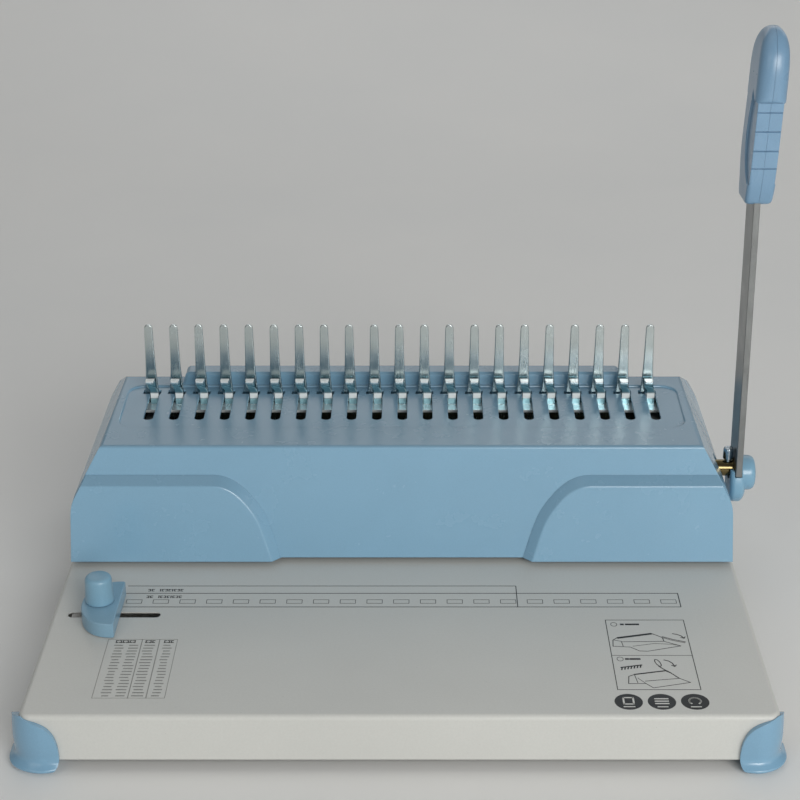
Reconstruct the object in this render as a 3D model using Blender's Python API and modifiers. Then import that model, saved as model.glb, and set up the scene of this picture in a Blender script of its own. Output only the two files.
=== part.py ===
"""Comb binding machine: punch, ring opener, lever, paper guide and chip tray.

Lengths are in millimetres in the machine's own frame: X to the right from the
base's centre line, Y to the back from the base's front edge, Z up from the top
of the paper deck.  The root empty carries every part and moves this frame so
that the machine stands on Z = 0, centred over the origin.
"""
import math

import bpy
import bmesh
from mathutils import Matrix, Vector

MM = 0.001                       # metres in a millimetre
FIT = 0.3                        # clearance between neighbouring parts

# ---- comb and punch line -----------------------------------------------------
PITCH = 14.2875                  # standard plastic-comb hole pitch, 9/16 inch
TEETH = 21
COMB_X = -1.8                    # centre of the row of holes
TOOTH_X = [COMB_X + (i - (TEETH - 1) / 2.0) * PITCH for i in range(TEETH)]
SLOT_DX = 1.8                    # each hook's slot sits this far right of its tine
PIN_Y = 167.5                    # punch line
PIN_W, PIN_T = 8.0, 3.0          # pin section along X and Y
HOLE_HALF_W = PIN_W / 2 + FIT
HOLE_HALF_T = PIN_T / 2 + FIT
STROKE = 9.0
BAR_Z = 16.5                     # underside of the punch bar

# ---- base and feet -------------------------------------------------------------
DECK_H = 31.0                    # deck above the floor
BASE_W, BASE_D = 368.6, 296.0
SKIRT = 25.0                     # depth of the bent skirt
SHEET = 1.5
UNDER_DECK = -(SHEET + FIT)      # top of the parts hung under the deck
FOOT_X = 189.5                   # half-width over the feet
FOOT_Y = 5.0                     # feet stand proud of the base by this much

# ---- cover -----------------------------------------------------------------------
COVER_T = 2.5
COVER_HALF = BASE_W / 2 - FIT
THROAT = 3.0                     # height of the paper throat
FRONT_FOOT_Y = 152.0             # front face at the height of the throat
TOP_FRONT = (160.0, 67.6)        # (y, z) of the top's front edge
TOP_REAR = (246.6, 72.0)         # (y, z) of the top's rear edge
FRONT_RUN = (TOP_FRONT[0] - FRONT_FOOT_Y) / (TOP_FRONT[1] - THROAT)
KNEE_Z = 35.0                    # the sides lean inward above this height
SIDE_SLOPE = 0.629               # inward lean of the upper sides

# ---- shaft and lever ---------------------------------------------------------------
AXIS_Y, AXIS_Z = 192.0, 39.0
SHAFT_R = 6.0
SHAFT_HOLE_R = SHAFT_R + FIT
LEAN = 3.16                      # lever leans back at rest, degrees
LEVER_X0, LEVER_X1 = 187.4, 191.0
HUB_DROP = 2.9                   # hub and cap are centred this far below the axis
GRIP_X, GRIP_W = 189.8, 8.0      # middle of the grip's foot and its half-width
GRIP_LEAN, GRIP_RISE = 3.2, 85.7  # the grip shifts outward by GRIP_LEAN over GRIP_RISE
OUT_X = 201.0                    # outermost point, on the grip's head

# ---- opener, paper guide and tray ----------------------------------------------------
OPENER_Z = 62.7                  # underside of the opener sheet
OPENER_HALF = 158.8
GUIDE_X, GUIDE_Y = -158.4, 95.0
GUIDE_TOP = 8.5
KNOB_Z = GUIDE_TOP + FIT
TRAY_Y = 168.0

SIDES = ((-1, "left"), (1, "right"))

for old in list(bpy.data.objects):
    bpy.data.objects.remove(old, do_unlink=True)

parts = bpy.data.collections.new("comb_binding_machine")
tools = bpy.data.collections.new("cutters")
bpy.context.scene.collection.children.link(parts)
bpy.context.scene.collection.children.link(tools)


# ---- materials -------------------------------------------------------------------------
def linear(channel):
    """An sRGB channel of 0 to 255 as a linear value of 0 to 1."""
    value = channel / 255.0
    return value / 12.92 if value <= 0.04045 else ((value + 0.055) / 1.055) ** 2.4


def material(name, rgb, roughness, metallic=0.0):
    made = bpy.data.materials.new(name)
    made.use_nodes = True
    inputs = made.node_tree.nodes["Principled BSDF"].inputs
    inputs["Base Color"].default_value = (*[linear(channel) for channel in rgb], 1.0)
    inputs["Roughness"].default_value = roughness
    inputs["Metallic"].default_value = metallic
    return made


def blue(name, shade=1.0):
    """Blue plastic, its colour multiplied by shade."""
    return material(name, rgb=(110 * shade, 142 * shade, 165 * shade), roughness=0.42)


def steel(name, grey=150, roughness=0.35):
    """Bare metal; blue is kept slightly below the grey level."""
    return material(name, rgb=(grey, grey, grey * 0.98), roughness=roughness, metallic=0.9)


# ---- empties -----------------------------------------------------------------------------
def empty(name, at, parent=None):
    """An empty at a point of the machine frame; without a parent it is the root."""
    made = bpy.data.objects.new(name, None)
    made.empty_display_size = 0.02
    tools.objects.link(made)
    if parent is None:
        made.location = Vector(at) * MM
        made["origin_mm"] = (0.0, 0.0, 0.0)
    else:
        made.parent = parent
        made.location = (Vector(at) - Vector(parent["origin_mm"])) * MM
        made["origin_mm"] = tuple(at)
    return made


root = empty("machine", (-(OUT_X - FOOT_X) / 2.0, -BASE_D / 2.0, DECK_H))
punch_axis = empty("punch_axis", (0, AXIS_Y, AXIS_Z), root)
lever_axis = empty("lever_axis", (0, AXIS_Y, AXIS_Z), punch_axis)
punch_slide = empty("punch_slide", (0, PIN_Y, BAR_Z), root)
opener_axis = empty("opener_slide_axis", (0, 211, OPENER_Z), root)
guide_slide = empty("guide_slide", (GUIDE_X, GUIDE_Y, FIT), root)
knob_axis = empty("knob_axis", (GUIDE_X, GUIDE_Y, KNOB_Z), guide_slide)
tray_slide = empty("tray_slide", (-BASE_W / 2, TRAY_Y, -22), root)

# ---- planes and turns ------------------------------------------------------------------------
# outline in XY, thick along Z
FLAT = Matrix.Identity(4)
# outline in YZ, thick along X
SIDE = Matrix(((0, 0, 1, 0), (1, 0, 0, 0), (0, 1, 0, 0), (0, 0, 0, 1)))
# outline in XZ, thick along -Y
FRONT = Matrix(((1, 0, 0, 0), (0, 0, -1, 0), (0, 1, 0, 0), (0, 0, 0, 1)))


def turn_about_x(y, z, angle):
    """Rotation about the line along X through (y, z)."""
    return (Matrix.Translation((0, y, z)) @ Matrix.Rotation(angle, 4, 'X')
            @ Matrix.Translation((0, -y, -z)))


LEVER_TILT = turn_about_x(AXIS_Y, AXIS_Z, math.radians(-LEAN))
TOP_TILT = turn_about_x(*TOP_FRONT, math.atan2(TOP_REAR[1] - TOP_FRONT[1],
                                              TOP_REAR[0] - TOP_FRONT[0]))


# ---- placing and modifiers -----------------------------------------------------------------------
def put(obj, mat=None, parent=None, where=None, cutter=False):
    """Link, parent and place an object; where is its matrix in the machine frame."""
    parent = parent or root
    (tools if cutter else parts).objects.link(obj)
    where = Matrix.Identity(4) if where is None else where
    local = Matrix.Translation(-Vector(parent["origin_mm"])) @ where
    local.translation = local.translation * MM
    obj.parent = parent
    obj.matrix_basis = local
    if cutter:
        obj.hide_render = True
        obj.display_type = 'WIRE'
    elif mat is not None:
        obj.data.materials.append(mat)
    return obj


def boolean(obj, other, operation):
    mod = obj.modifiers.new(operation.lower() + "_" + other.name, 'BOOLEAN')
    mod.operation = operation
    mod.solver = 'EXACT'
    mod.object = other


def cut(obj, other):
    boolean(obj, other, 'DIFFERENCE')


def join(obj, other):
    boolean(obj, other, 'UNION')


def solidify(obj, name, thickness):
    """Turn a shell into a wall that grows inward."""
    mod = obj.modifiers.new(name, 'SOLIDIFY')
    mod.thickness = thickness * MM
    mod.offset = -1.0
    mod.use_even_offset = True


# ---- bmesh helpers -------------------------------------------------------------------------------
def mesh_object(name, shape):
    """An unlinked object from a bmesh in millimetres, which is freed."""
    mesh = bpy.data.meshes.new(name)
    bmesh.ops.scale(shape, vec=(MM, MM, MM), verts=shape.verts)
    bmesh.ops.recalc_face_normals(shape, faces=shape.faces)
    shape.to_mesh(mesh)
    shape.free()
    return bpy.data.objects.new(name, mesh)


def add_box(shape, size, centre=(0, 0, 0)):
    bmesh.ops.create_cube(shape, size=1.0,
                          matrix=Matrix.Translation(centre) @ Matrix.Diagonal((*size, 1.0)))


def open_box(size, is_open):
    """A box without the faces for which is_open(z of the face's centre) holds."""
    shape = bmesh.new()
    add_box(shape, size)
    gone = [face for face in shape.faces if is_open(face.calc_center_median().z)]
    bmesh.ops.delete(shape, geom=gone, context='FACES')
    return shape


def extrude(shape, faces, offset):
    grown = bmesh.ops.extrude_face_region(shape, geom=faces)["geom"]
    verts = [item for item in grown if isinstance(item, bmesh.types.BMVert)]
    bmesh.ops.translate(shape, vec=offset, verts=verts)


def add_prism(shape, points, offset):
    """A polygon of 3D points, extruded by offset."""
    face = shape.faces.new([shape.verts.new(point) for point in points])
    extrude(shape, [face], offset)


def bevel_edges(shape, edges, width, segments):
    bmesh.ops.bevel(shape, geom=edges, offset=width, offset_type='OFFSET', segments=segments,
                    profile=0.5, affect='EDGES')


# ---- solids ------------------------------------------------------------------------------------------
def plate(name, plane, loops, depth, mat=None, parent=None, cutter=False, turn=None):
    """A flat outline with holes; depth is its (low, high) along the axis it is thick in."""
    low, high = depth
    curve = bpy.data.curves.new(name + "_outline", 'CURVE')
    curve.dimensions = '2D'
    curve.fill_mode = 'BOTH'
    curve.extrude = (high - low) * MM / 2.0
    for loop in loops:
        spline = curve.splines.new('POLY')
        spline.points.add(len(loop) - 1)
        for point, (across, up) in zip(spline.points, loop):
            point.co = (across * MM, up * MM, 0.0, 1.0)
        spline.use_cyclic_u = True
    holder = bpy.data.objects.new(name + "_curve", curve)
    tools.objects.link(holder)
    depsgraph = bpy.context.evaluated_depsgraph_get()
    mesh = bpy.data.meshes.new_from_object(holder.evaluated_get(depsgraph))
    bpy.data.objects.remove(holder, do_unlink=True)
    mesh.name = name
    # weld the caps to the walls
    shape = bmesh.new()
    shape.from_mesh(mesh)
    bmesh.ops.remove_doubles(shape, verts=shape.verts, dist=1e-6)
    bmesh.ops.recalc_face_normals(shape, faces=shape.faces)
    shape.to_mesh(mesh)
    shape.free()
    middle = (low + high) / 2.0
    if plane is FRONT:
        middle = -middle
    where = plane @ Matrix.Translation((0, 0, middle))
    if turn is not None:
        where = turn @ where
    return put(bpy.data.objects.new(name, mesh), mat, parent, where, cutter)


def block(name, low, high, mat=None, parent=None, cutter=False, turn=None):
    """A box between two corners, its origin at its centre."""
    shape = bmesh.new()
    add_box(shape, Vector(high) - Vector(low))
    where = Matrix.Translation((Vector(low) + Vector(high)) / 2.0)
    if turn is not None:
        where = turn @ where
    return put(mesh_object(name, shape), mat, parent, where, cutter)


def box_cutter(name, corners):
    """Several separate boxes, given as (low, high) corners, in one cutter."""
    shape = bmesh.new()
    for low, high in corners:
        low, high = Vector(low), Vector(high)
        add_box(shape, high - low, (low + high) / 2.0)
    return put(mesh_object(name, shape), cutter=True)


def rod(name, radius, start, end, mat=None, parent=None, cutter=False, segments=24):
    """A cylinder between two points."""
    start, end = Vector(start), Vector(end)
    shape = bmesh.new()
    bmesh.ops.create_cone(shape, cap_ends=True, segments=segments, radius1=radius,
                          radius2=radius, depth=(end - start).length)
    obj = mesh_object(name, shape)
    aim = Vector((0, 0, 1)).rotation_difference((end - start).normalized()).to_matrix().to_4x4()
    put(obj, mat, parent, Matrix.Translation((start + end) / 2.0) @ aim, cutter)
    if not cutter:
        obj.data.shade_smooth()
        obj.data.set_sharp_from_angle(angle=math.radians(35))
    return obj


def turned(name, profile, at, along, mat=None, parent=None, segments=24, cutter=False):
    """A turned shape: profile is (radius, height) down its outer side."""
    mesh = bpy.data.meshes.new(name)
    verts = [(radius * MM, 0.0, height * MM) for radius, height in profile]
    mesh.from_pydata(verts, [(i, i + 1) for i in range(len(verts) - 1)], [])
    aim = Vector((0, 0, 1)).rotation_difference(Vector(along)).to_matrix().to_4x4()
    obj = put(bpy.data.objects.new(name, mesh), mat, parent, Matrix.Translation(at) @ aim, cutter)
    mod = obj.modifiers.new("turn", 'SCREW')
    mod.axis = 'Z'
    mod.angle = 2 * math.pi
    mod.steps = mod.render_steps = segments
    mod.use_merge_vertices = True
    mod.merge_threshold = 0.00001
    mod.use_smooth_shade = True
    return obj


# ---- outlines ----------------------------------------------------------------------------------------
def circle(centre_u, centre_v, radius, count=24):
    angles = [2 * math.pi * i / count for i in range(count)]
    return [(centre_u + radius * math.cos(a), centre_v + radius * math.sin(a)) for a in angles]


def shaft_hole():
    return circle(AXIS_Y, AXIS_Z, SHAFT_HOLE_R)


def rect(u0, v0, u1, v1):
    return [(u0, v0), (u1, v0), (u1, v1), (u0, v1)]


def polar(radius, degrees):
    """Point about the shaft axis in (Y, Z); 0 is up, 90 is to the front."""
    angle = math.radians(degrees)
    return (AXIS_Y - radius * math.sin(angle), AXIS_Z + radius * math.cos(angle))


def capsule(start, start_r, end, end_r, count=10):
    """Outline round two circles joined by straight sides."""
    run, rise = end[0] - start[0], end[1] - start[1]
    heading = math.atan2(rise, run)
    touch = math.acos((start_r - end_r) / math.hypot(run, rise))
    outline = []
    for centre, radius, first, sweep in (
            (start, start_r, heading + touch, 2 * math.pi - 2 * touch),
            (end, end_r, heading - touch, 2 * touch)):
        for i in range(count + 1):
            angle = first + sweep * i / count
            outline.append((centre[0] + radius * math.cos(angle),
                            centre[1] + radius * math.sin(angle)))
    return outline


def span(side, inner, outer):
    """Distances from the centre line as an ascending X range on one side."""
    return sorted((side * inner, side * outer))


def hole_rect(x):
    return rect(x - HOLE_HALF_W, PIN_Y - HOLE_HALF_T, x + HOLE_HALF_W, PIN_Y + HOLE_HALF_T)


def hole_boxes(z0, z1):
    """Corners of a box through every pin hole."""
    return [((x - HOLE_HALF_W, PIN_Y - HOLE_HALF_T, z0), (x + HOLE_HALF_W, PIN_Y + HOLE_HALF_T, z1))
            for x in TOOTH_X]


# ---- base plate ----------------------------------------------------------------------------------------
def base_plate():
    """Bent sheet, open below, with pin holes, a tray window and the guide's slot."""
    shape = open_box((BASE_W, BASE_D, SKIRT), lambda z: z < -SKIRT * 0.4)
    base = put(mesh_object("base_plate", shape),
               material("deck_paint", rgb=(162, 164, 162), roughness=0.5),
               where=Matrix.Translation((0, BASE_D / 2.0, -SKIRT / 2.0)))
    mod = base.modifiers.new("round", 'BEVEL')
    mod.width = 3.0 * MM
    mod.segments = 3
    mod.limit_method = 'ANGLE'
    mod.angle_limit = math.radians(30)
    mod.miter_outer = 'MITER_ARC'
    solidify(base, "sheet", SHEET)

    tray_window = ((-187, 148.5, -22.8), (-180, 187.5, -4.6))
    cut(base, box_cutter("deck_windows", hole_boxes(-4, 2) + [tray_window]))

    slot_left, slot_right, slot_r = -175.6, -127.3, 2.0
    slot = []
    for end_x, side in ((slot_left + slot_r, -1), (slot_right - slot_r, 1)):
        for k in range(7):
            angle = math.pi * k / 6
            slot.append((end_x + side * slot_r * math.sin(angle),
                         GUIDE_Y - side * slot_r * math.cos(angle)))
    cut(base, plate("guide_slot_cut", FLAT, [slot], (-5, 5), cutter=True))


# ---- corner feet -----------------------------------------------------------------------------------------
FOOT_IN_X = 165.0                # inner face of a foot
FOOT_IN_Y = 24.0                 # depth of a foot in from the base's edge
FOOT_CORNER_R = 11.0

# (x, z) seen from the front, right-hand foot
FOOT_FRONT = [
    (FOOT_X, 0.0), (184.0, -0.4), (178.0, -2.3), (170.5, -6.0), (167.0, -11.0), (165.4, -18.0),
    (FOOT_IN_X, -25.0), (FOOT_IN_X, -DECK_H), (FOOT_X, -DECK_H)]
# (distance in from the base's edge along Y, z)
FOOT_SIDE = [
    (0.0, 0.0), (5.0, -0.4), (11.0, -2.3), (18.5, -6.0), (22.0, -11.0), (23.6, -18.0),
    (FOOT_IN_Y, -25.0), (FOOT_IN_Y, -DECK_H), (-FOOT_Y, -DECK_H), (-FOOT_Y, 0.0)]


def foot(end, hand, side):
    name = "foot_%s_%s" % (end, hand)
    rear = end == "rear"

    def from_edge(distance):
        return BASE_D - distance if rear else distance

    body = plate(name, FRONT, [[(side * x, z) for x, z in FOOT_FRONT]],
                 sorted((from_edge(-FOOT_Y), from_edge(FOOT_IN_Y))),
                 blue("foot_plastic_" + name, shade=1.08))
    x0, x1 = span(side, FOOT_IN_X - 1, FOOT_X)
    boolean(body, plate(name + "_side", SIDE, [[(from_edge(y), z) for y, z in FOOT_SIDE]],
                        (x0 - 1, x1 + 1), cutter=True), 'INTERSECT')

    # all that lies outside a quarter circle at the vertical outer corner
    radius = FOOT_CORNER_R
    beyond = radius + 4
    y_sign = 1 if rear else -1
    centre_x, centre_y = side * (FOOT_X - radius), from_edge(-FOOT_Y + radius)
    corner = [(radius * math.cos(math.pi / 2 * k / 6), radius * math.sin(math.pi / 2 * k / 6))
              for k in range(7)]
    corner += [(0, beyond), (beyond, beyond), (beyond, 0)]
    corner = [(centre_x + side * x, centre_y + y_sign * y) for x, y in corner]
    cut(body, plate(name + "_corner", FLAT, [corner], (-35, 5), cutter=True))
    cut(body, block(name + "_pocket", (-BASE_W / 2 - FIT, -FIT, -SKIRT - FIT),
                    (BASE_W / 2 + FIT, BASE_D + FIT, 8), cutter=True))


# ---- cover ---------------------------------------------------------------------------------------------------
# (y, z, y shift, z shift): side profile, with the shifts per millimetre of inset
COVER_PROFILE = [(*TOP_FRONT, 1.0, -0.98), (*TOP_REAR, -0.3, -1.0), (290.0, 50.0, -1.0, -1.0)]
WING_FOOT_Z = 1.5


def front_y(z, foot_y=FRONT_FOOT_Y):
    """Y at height z on a plane parallel to the cover's leaning front face."""
    return foot_y + (z - THROAT) * FRONT_RUN


def body_hull(name, inset):
    """Convex body of the cover; an inset one reaches below it, to hollow it out."""
    foot_z = FIT - (6.0 if inset else 0.0)
    profile = [(front_y(foot_z) + 1.008 * inset, foot_z)]
    profile += [(y + dy * inset, z + dz * inset) for y, z, dy, dz in COVER_PROFILE]
    profile.append((292.0 - 1.01 * inset, foot_z))
    half = COVER_HALF - inset
    shape = bmesh.new()
    add_prism(shape, [(-half, y, z) for y, z in profile], (2 * half, 0, 0))
    # slice off the upper sides
    slant = math.sqrt(1 + SIDE_SLOPE ** 2)
    for side, _ in SIDES:
        sliced = bmesh.ops.bisect_plane(
            shape, geom=shape.verts[:] + shape.edges[:] + shape.faces[:],
            plane_co=Vector((side * (COVER_HALF - inset * slant), 0, KNEE_Z)),
            plane_no=Vector((side, 0, SIDE_SLOPE)).normalized(), clear_outer=True)
        rim = [item for item in sliced["geom_cut"] if isinstance(item, bmesh.types.BMEdge)]
        bmesh.ops.contextual_create(shape, geom=rim)
    bmesh.ops.recalc_face_normals(shape, faces=shape.faces)
    if not inset:
        upper = [edge for edge in shape.edges if edge.calc_face_angle(0) > math.radians(20)
                 and edge.verts[0].co.z + edge.verts[1].co.z > 120.0]
        bevel_edges(shape, upper, width=2.5, segments=2)
    return mesh_object(name, shape)


def side_x(z):
    """Half-width of the cover at height z."""
    return COVER_HALF - (0 if z <= KNEE_Z else SIDE_SLOPE * (z - KNEE_Z))


def wing_line(x_low, x_top, z_top):
    """Quarter ellipse: a wing's inner edge, from its top down to the cover's foot."""
    angles = [math.pi / 2 * k / 12 for k in range(13)]
    return [(x_top - (x_top - x_low) * math.sin(a),
             WING_FOOT_Z + (z_top - WING_FOOT_Z) * math.cos(a)) for a in angles]


def wing(hand, side):
    """Raised pad low on the front face, chamfered along its curved inner edge."""
    edge_line = wing_line(65.8, 103.0, 51.2)
    face_line = wing_line(70.8, 102.0, 46.6)
    shape = bmesh.new()
    rings = []
    for line, foot_y in ((face_line, 147.0), (edge_line, FRONT_FOOT_Y), (edge_line, 153.6)):
        top = line[0][1]
        loop = [(side_x(0) - 0.3, WING_FOOT_Z), (side_x(KNEE_Z) - 0.3, KNEE_Z),
                (side_x(top) - 0.4, top)] + line
        rings.append([shape.verts.new((side * x, front_y(z, foot_y), z)) for x, z in loop])
    count = len(rings[0])
    for ring, following in zip(rings, rings[1:]):
        for i in range(count):
            j = (i + 1) % count
            shape.faces.new((ring[i], ring[j], following[j], following[i]))
    shape.faces.new(rings[0])
    shape.faces.new(rings[-1])
    return put(mesh_object("wing_" + hand, shape), cutter=True)


def comb_slot(tooth):
    """Slot in (X, Y): a hook's run with a rounded front end, and a tine's window behind."""
    hook = tooth + SLOT_DX
    return [(hook - 2.7, 195.6), (hook - 1.6, 193.6), (hook, 193.0), (hook + 1.6, 193.6),
            (hook + 2.7, 195.6), (hook + 2.7, 225.6), (tooth + 5.0, 225.6), (tooth + 5.0, 230.2),
            (tooth - 5.0, 230.2), (tooth - 5.0, 225.6), (hook - 2.7, 225.6)]


def top_cover():
    cover = put(body_hull("top_cover", 0.0), blue("cover_plastic"))
    for side, hand in SIDES:
        join(cover, wing(hand, side))
    ridge = [(-129, 68), (129, 68), (129, 73), (125.5, 79), (-125.5, 79), (-129, 73)]
    join(cover, plate("comb_ridge", FRONT, [ridge], (235, 247), cutter=True))
    cut(cover, put(body_hull("cover_inside", COVER_T), cutter=True))
    cut(cover, block("sunk_panel", (-158, 182.5, 66.8), (158, 234.0, 75), cutter=True,
                     turn=TOP_TILT))
    cut(cover, block("throat_cut", (-200, 140, -3), (200, 158, THROAT), cutter=True))
    cut(cover, rod("shaft_hole", 8.0, (170, AXIS_Y, AXIS_Z), (192, AXIS_Y, AXIS_Z), cutter=True))
    cut(cover, plate("comb_slots", FLAT, [comb_slot(x) for x in TOOTH_X], (60, 80), cutter=True))


# ---- frame -----------------------------------------------------------------------------------------------------
BUSH_R = 8.0
DIE_HALF = 169.0                 # half-length of the die and guide plates

# (half-width, z) up one edge of a tine to its tip
TINE_EDGE = [(4.0, 66.0), (3.7, 72.0), (2.9, 79.0), (2.2, 108.5), (1.4, 111.2), (0.0, 112.0)]


def side_frame(hand, side):
    outline = [(160, FIT), (228, FIT), (228, 42), (220, 49), (168, 49), (160, 36)]
    frame = plate("side_frame_" + hand, SIDE, [outline, circle(AXIS_Y, AXIS_Z, BUSH_R + FIT)],
                  span(side, 169.5, 171.5),
                  steel("frame_zinc_" + hand, grey=165, roughness=0.4))
    x0, x1 = span(side, 170.5, 180.0)
    join(frame, block("side_flange_" + hand, (x0, 160.4, 0.6), (x1, 227.6, 2.6), cutter=True))


def shaft_bush(hand, side):
    """Flanged bearing bush round the shaft, its flange on the inner side."""
    bore, flange_r, flange_t, length = SHAFT_HOLE_R, 10.5, 1.8, 4.6
    profile = [(bore, 0.0), (flange_r, 0.0), (flange_r, -flange_t), (BUSH_R, -flange_t),
               (BUSH_R, -length), (bore, -length), (bore, 0.0)]
    turned("shaft_bush_" + hand, profile, (side * 167.4, AXIS_Y, AXIS_Z), (-side, 0, 0),
           material("bush_" + hand, rgb=(196, 188, 160), roughness=0.45))


def cross_frame():
    """L-shaped sheet across the machine."""
    outline = [(229.4, FIT), (250, FIT), (250, 2.3), (231.4, 2.3), (231.4, 62.0), (229.4, 62.0)]
    plate("cross_frame", SIDE, [outline], (-154, 154),
          steel("cross_frame_zinc", grey=165, roughness=0.4))


def die_plate():
    outline = rect(-DIE_HALF, 155, DIE_HALF, 180)
    plate("die_plate", FLAT, [outline] + [hole_rect(x) for x in TOOTH_X], (-6.3, UNDER_DECK),
          steel("die_steel", grey=140))


def guide_plate():
    """Plate over the deck, raised between its ends to let the paper in."""
    guide = block("guide_plate", (-DIE_HALF, 156, FIT), (DIE_HALF, 181, 6.3),
                  steel("guide_steel"))
    cut(guide, block("guide_gap", (-163, 150, -1), (163, 190, 3.3), cutter=True))
    cut(guide, box_cutter("guide_holes", hole_boxes(1, 9)))


def paper_stop():
    block("paper_stop", (-150, 172.0, FIT), (150, 176.0, 3.0), steel("stop_steel", grey=160))


def tine_plate():
    outline = [(-153, 50), (-153, 66)]
    for x in TOOTH_X:
        outline += [(x - half, z) for half, z in TINE_EDGE]
        outline += [(x + half, z) for half, z in reversed(TINE_EDGE[:-1])]
    outline += [(150, 66), (150, 50)]
    plate("tine_plate", FRONT, [outline], (227.0, 229.0),
          steel("tine_zinc", grey=205, roughness=0.28))


def slide_rail(hand, side):
    outline = [(190, 60.4), (226.6, 60.4), (226.6, 50), (224.6, 50), (224.6, 58.4), (190, 58.4)]
    plate("slide_rail_" + hand, SIDE, [outline], span(side, 138.0, 147.0), steel("rail_" + hand))


# ---- punch: cams, bar, pins and springs ----------------------------------------------------------------------------
CAM_LOW_R, CAM_REST_R = 14.0, 16.0


def cam_radius(angle):
    """Cam radius at an angle in degrees, as polar() counts it."""
    if 100 <= angle <= 180:
        return CAM_REST_R + (180 - angle) / 80.0 * STROKE
    if 60 <= angle < 100:
        rise = CAM_REST_R + STROKE - CAM_LOW_R
        return CAM_LOW_R + rise * (1 - math.cos(math.pi * (angle - 60) / 40.0)) / 2.0
    if 180 < angle < 225:
        return CAM_LOW_R + (CAM_REST_R - CAM_LOW_R) * (225 - angle) / 45.0
    return CAM_LOW_R


def punch_cam(hand, side):
    """Cam whose bore opens into a wider sector for the dog's finger."""
    steps = 48
    angles = [360.0 * k / steps for k in range(steps)]
    outline = [polar(cam_radius(angle), angle) for angle in angles]
    bore = [polar(6.4, angle) for angle in range(316, 606, 15)]
    bore += [polar(10.6, angle) for angle in (243, 252, 261, 270, 279, 288, 297, 306, 312)]
    plate("punch_cam_" + hand, SIDE, [outline, bore], span(side, 150.3, 154.8),
          steel("cam_steel_" + hand, grey=120), punch_axis)


def punch_bar():
    """Bar that carries the pins, with an arm to the back at either end."""
    end, arm = 155.8, 143
    outline = [(-end, 159), (end, 159), (end, 198), (arm, 198), (arm, 178), (-arm, 178),
               (-arm, 198), (-end, 198)]
    plate("punch_bar", FLAT, [outline] + [hole_rect(x) for x in TOOTH_X], (BAR_Z, 21.5),
          steel("bar_steel", grey=130), punch_slide)


def pin_retainer():
    half = 147.5
    block("pin_retainer", (COMB_X - half, 162, 24.3), (COMB_X + half, 174, 26.3),
          steel("retainer_steel"), punch_slide)


def punch_pins():
    """Rectangular pins with a wider head on top."""
    shank, head = 18.2, 2.2
    head_w, head_t = PIN_W + 2.4, PIN_T + 3.0
    pin_steel = steel("pin_steel", grey=175, roughness=0.22)
    for number, x in enumerate(TOOTH_X, 1):
        shape = bmesh.new()
        add_box(shape, (PIN_W, PIN_T, shank))
        top = [face for face in shape.faces if face.normal.z > 0.9]
        bmesh.ops.inset_region(shape, faces=top, thickness=0.0001)
        bmesh.ops.scale(shape, vec=(head_w / PIN_W, head_t / PIN_T, 1.0),
                        verts=list({vert for face in top for vert in face.verts}))
        extrude(shape, top, (0, 0, head))
        # the extrusion may leave the face under the head
        bmesh.ops.delete(shape, geom=[face for face in top if face.is_valid], context='FACES')
        bmesh.ops.dissolve_degenerate(shape, dist=0.001, edges=shape.edges)
        put(mesh_object("punch_pin_%02d" % number, shape), pin_steel, punch_slide,
            Matrix.Translation((x, PIN_Y, 12.7)))


def return_spring(hand, side):
    """Coil between deck and punch bar, with closely wound ends."""
    low, high = 0.4, 16.2
    radius, wire, turns = 4.2, 1.2, 4.5
    closed = 0.75                # closed turns at each end
    end_rise = wire * 1.15       # rise per closed turn
    curve = bpy.data.curves.new("return_spring_" + hand, 'CURVE')
    curve.dimensions = '3D'
    curve.bevel_depth = wire / 2 * MM
    curve.bevel_resolution = 1
    curve.use_fill_caps = True
    spline = curve.splines.new('POLY')
    count = int(turns * 10)
    spline.points.add(count)
    start, end = low + wire / 2 + 0.02, high - wire / 2 - 0.02
    for k in range(count + 1):
        wound = k / count * turns
        open_part = min(max((wound - closed) / (turns - 2 * closed), 0.0), 1.0)
        lift = end_rise * (min(wound, closed) + max(wound - (turns - closed), 0.0))
        z = start + lift + (end - start - end_rise * 2 * closed) * open_part
        angle = 2 * math.pi * wound
        spline.points[k].co = (radius * math.cos(angle) * MM, radius * math.sin(angle) * MM,
                               z * MM, 1.0)
    put(bpy.data.objects.new("return_spring_" + hand, curve),
        steel("spring_" + hand, grey=160), punch_slide, Matrix.Translation((side * 149.0, 190.0, 0)))


# ---- shaft, dogs and opener arms ---------------------------------------------------------------------------------------
def main_shaft():
    """Shaft with the screw that clamps the lever to it."""
    shaft = rod("main_shaft", SHAFT_R, (-174.0, AXIS_Y, AXIS_Z), (193.7, AXIS_Y, AXIS_Z),
                material("shaft_yellow_zinc", rgb=(178, 160, 112), roughness=0.32, metallic=0.9),
                lever_axis)
    profile = [(0.0, 12.6), (1.9, 12.6), (2.5, 12.0), (2.5, 0.0), (0.0, 0.0)]
    join(shaft, turned("clamp_screw", profile, (184.2, AXIS_Y, AXIS_Z), (0, 0, 1),
                       parent=lever_axis, segments=16, cutter=True))


def drive_dog(hand, side):
    """Disc on the shaft, with a finger that reaches into the cam's sector."""
    dog = plate("drive_dog_" + hand, SIDE, [circle(AXIS_Y, AXIS_Z, 10.0), shaft_hole()],
                span(side, 145.3, 150.0), steel("dog_steel_" + hand, grey=120), lever_axis)
    angles = (293, 299, 305, 311)
    finger = [polar(7.0, angle) for angle in angles]
    finger += [polar(9.9, angle) for angle in reversed(angles)]
    join(dog, plate("dog_finger_" + hand, SIDE, [finger], span(side, 146.0, 154.0),
                    parent=lever_axis, cutter=True))


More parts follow.
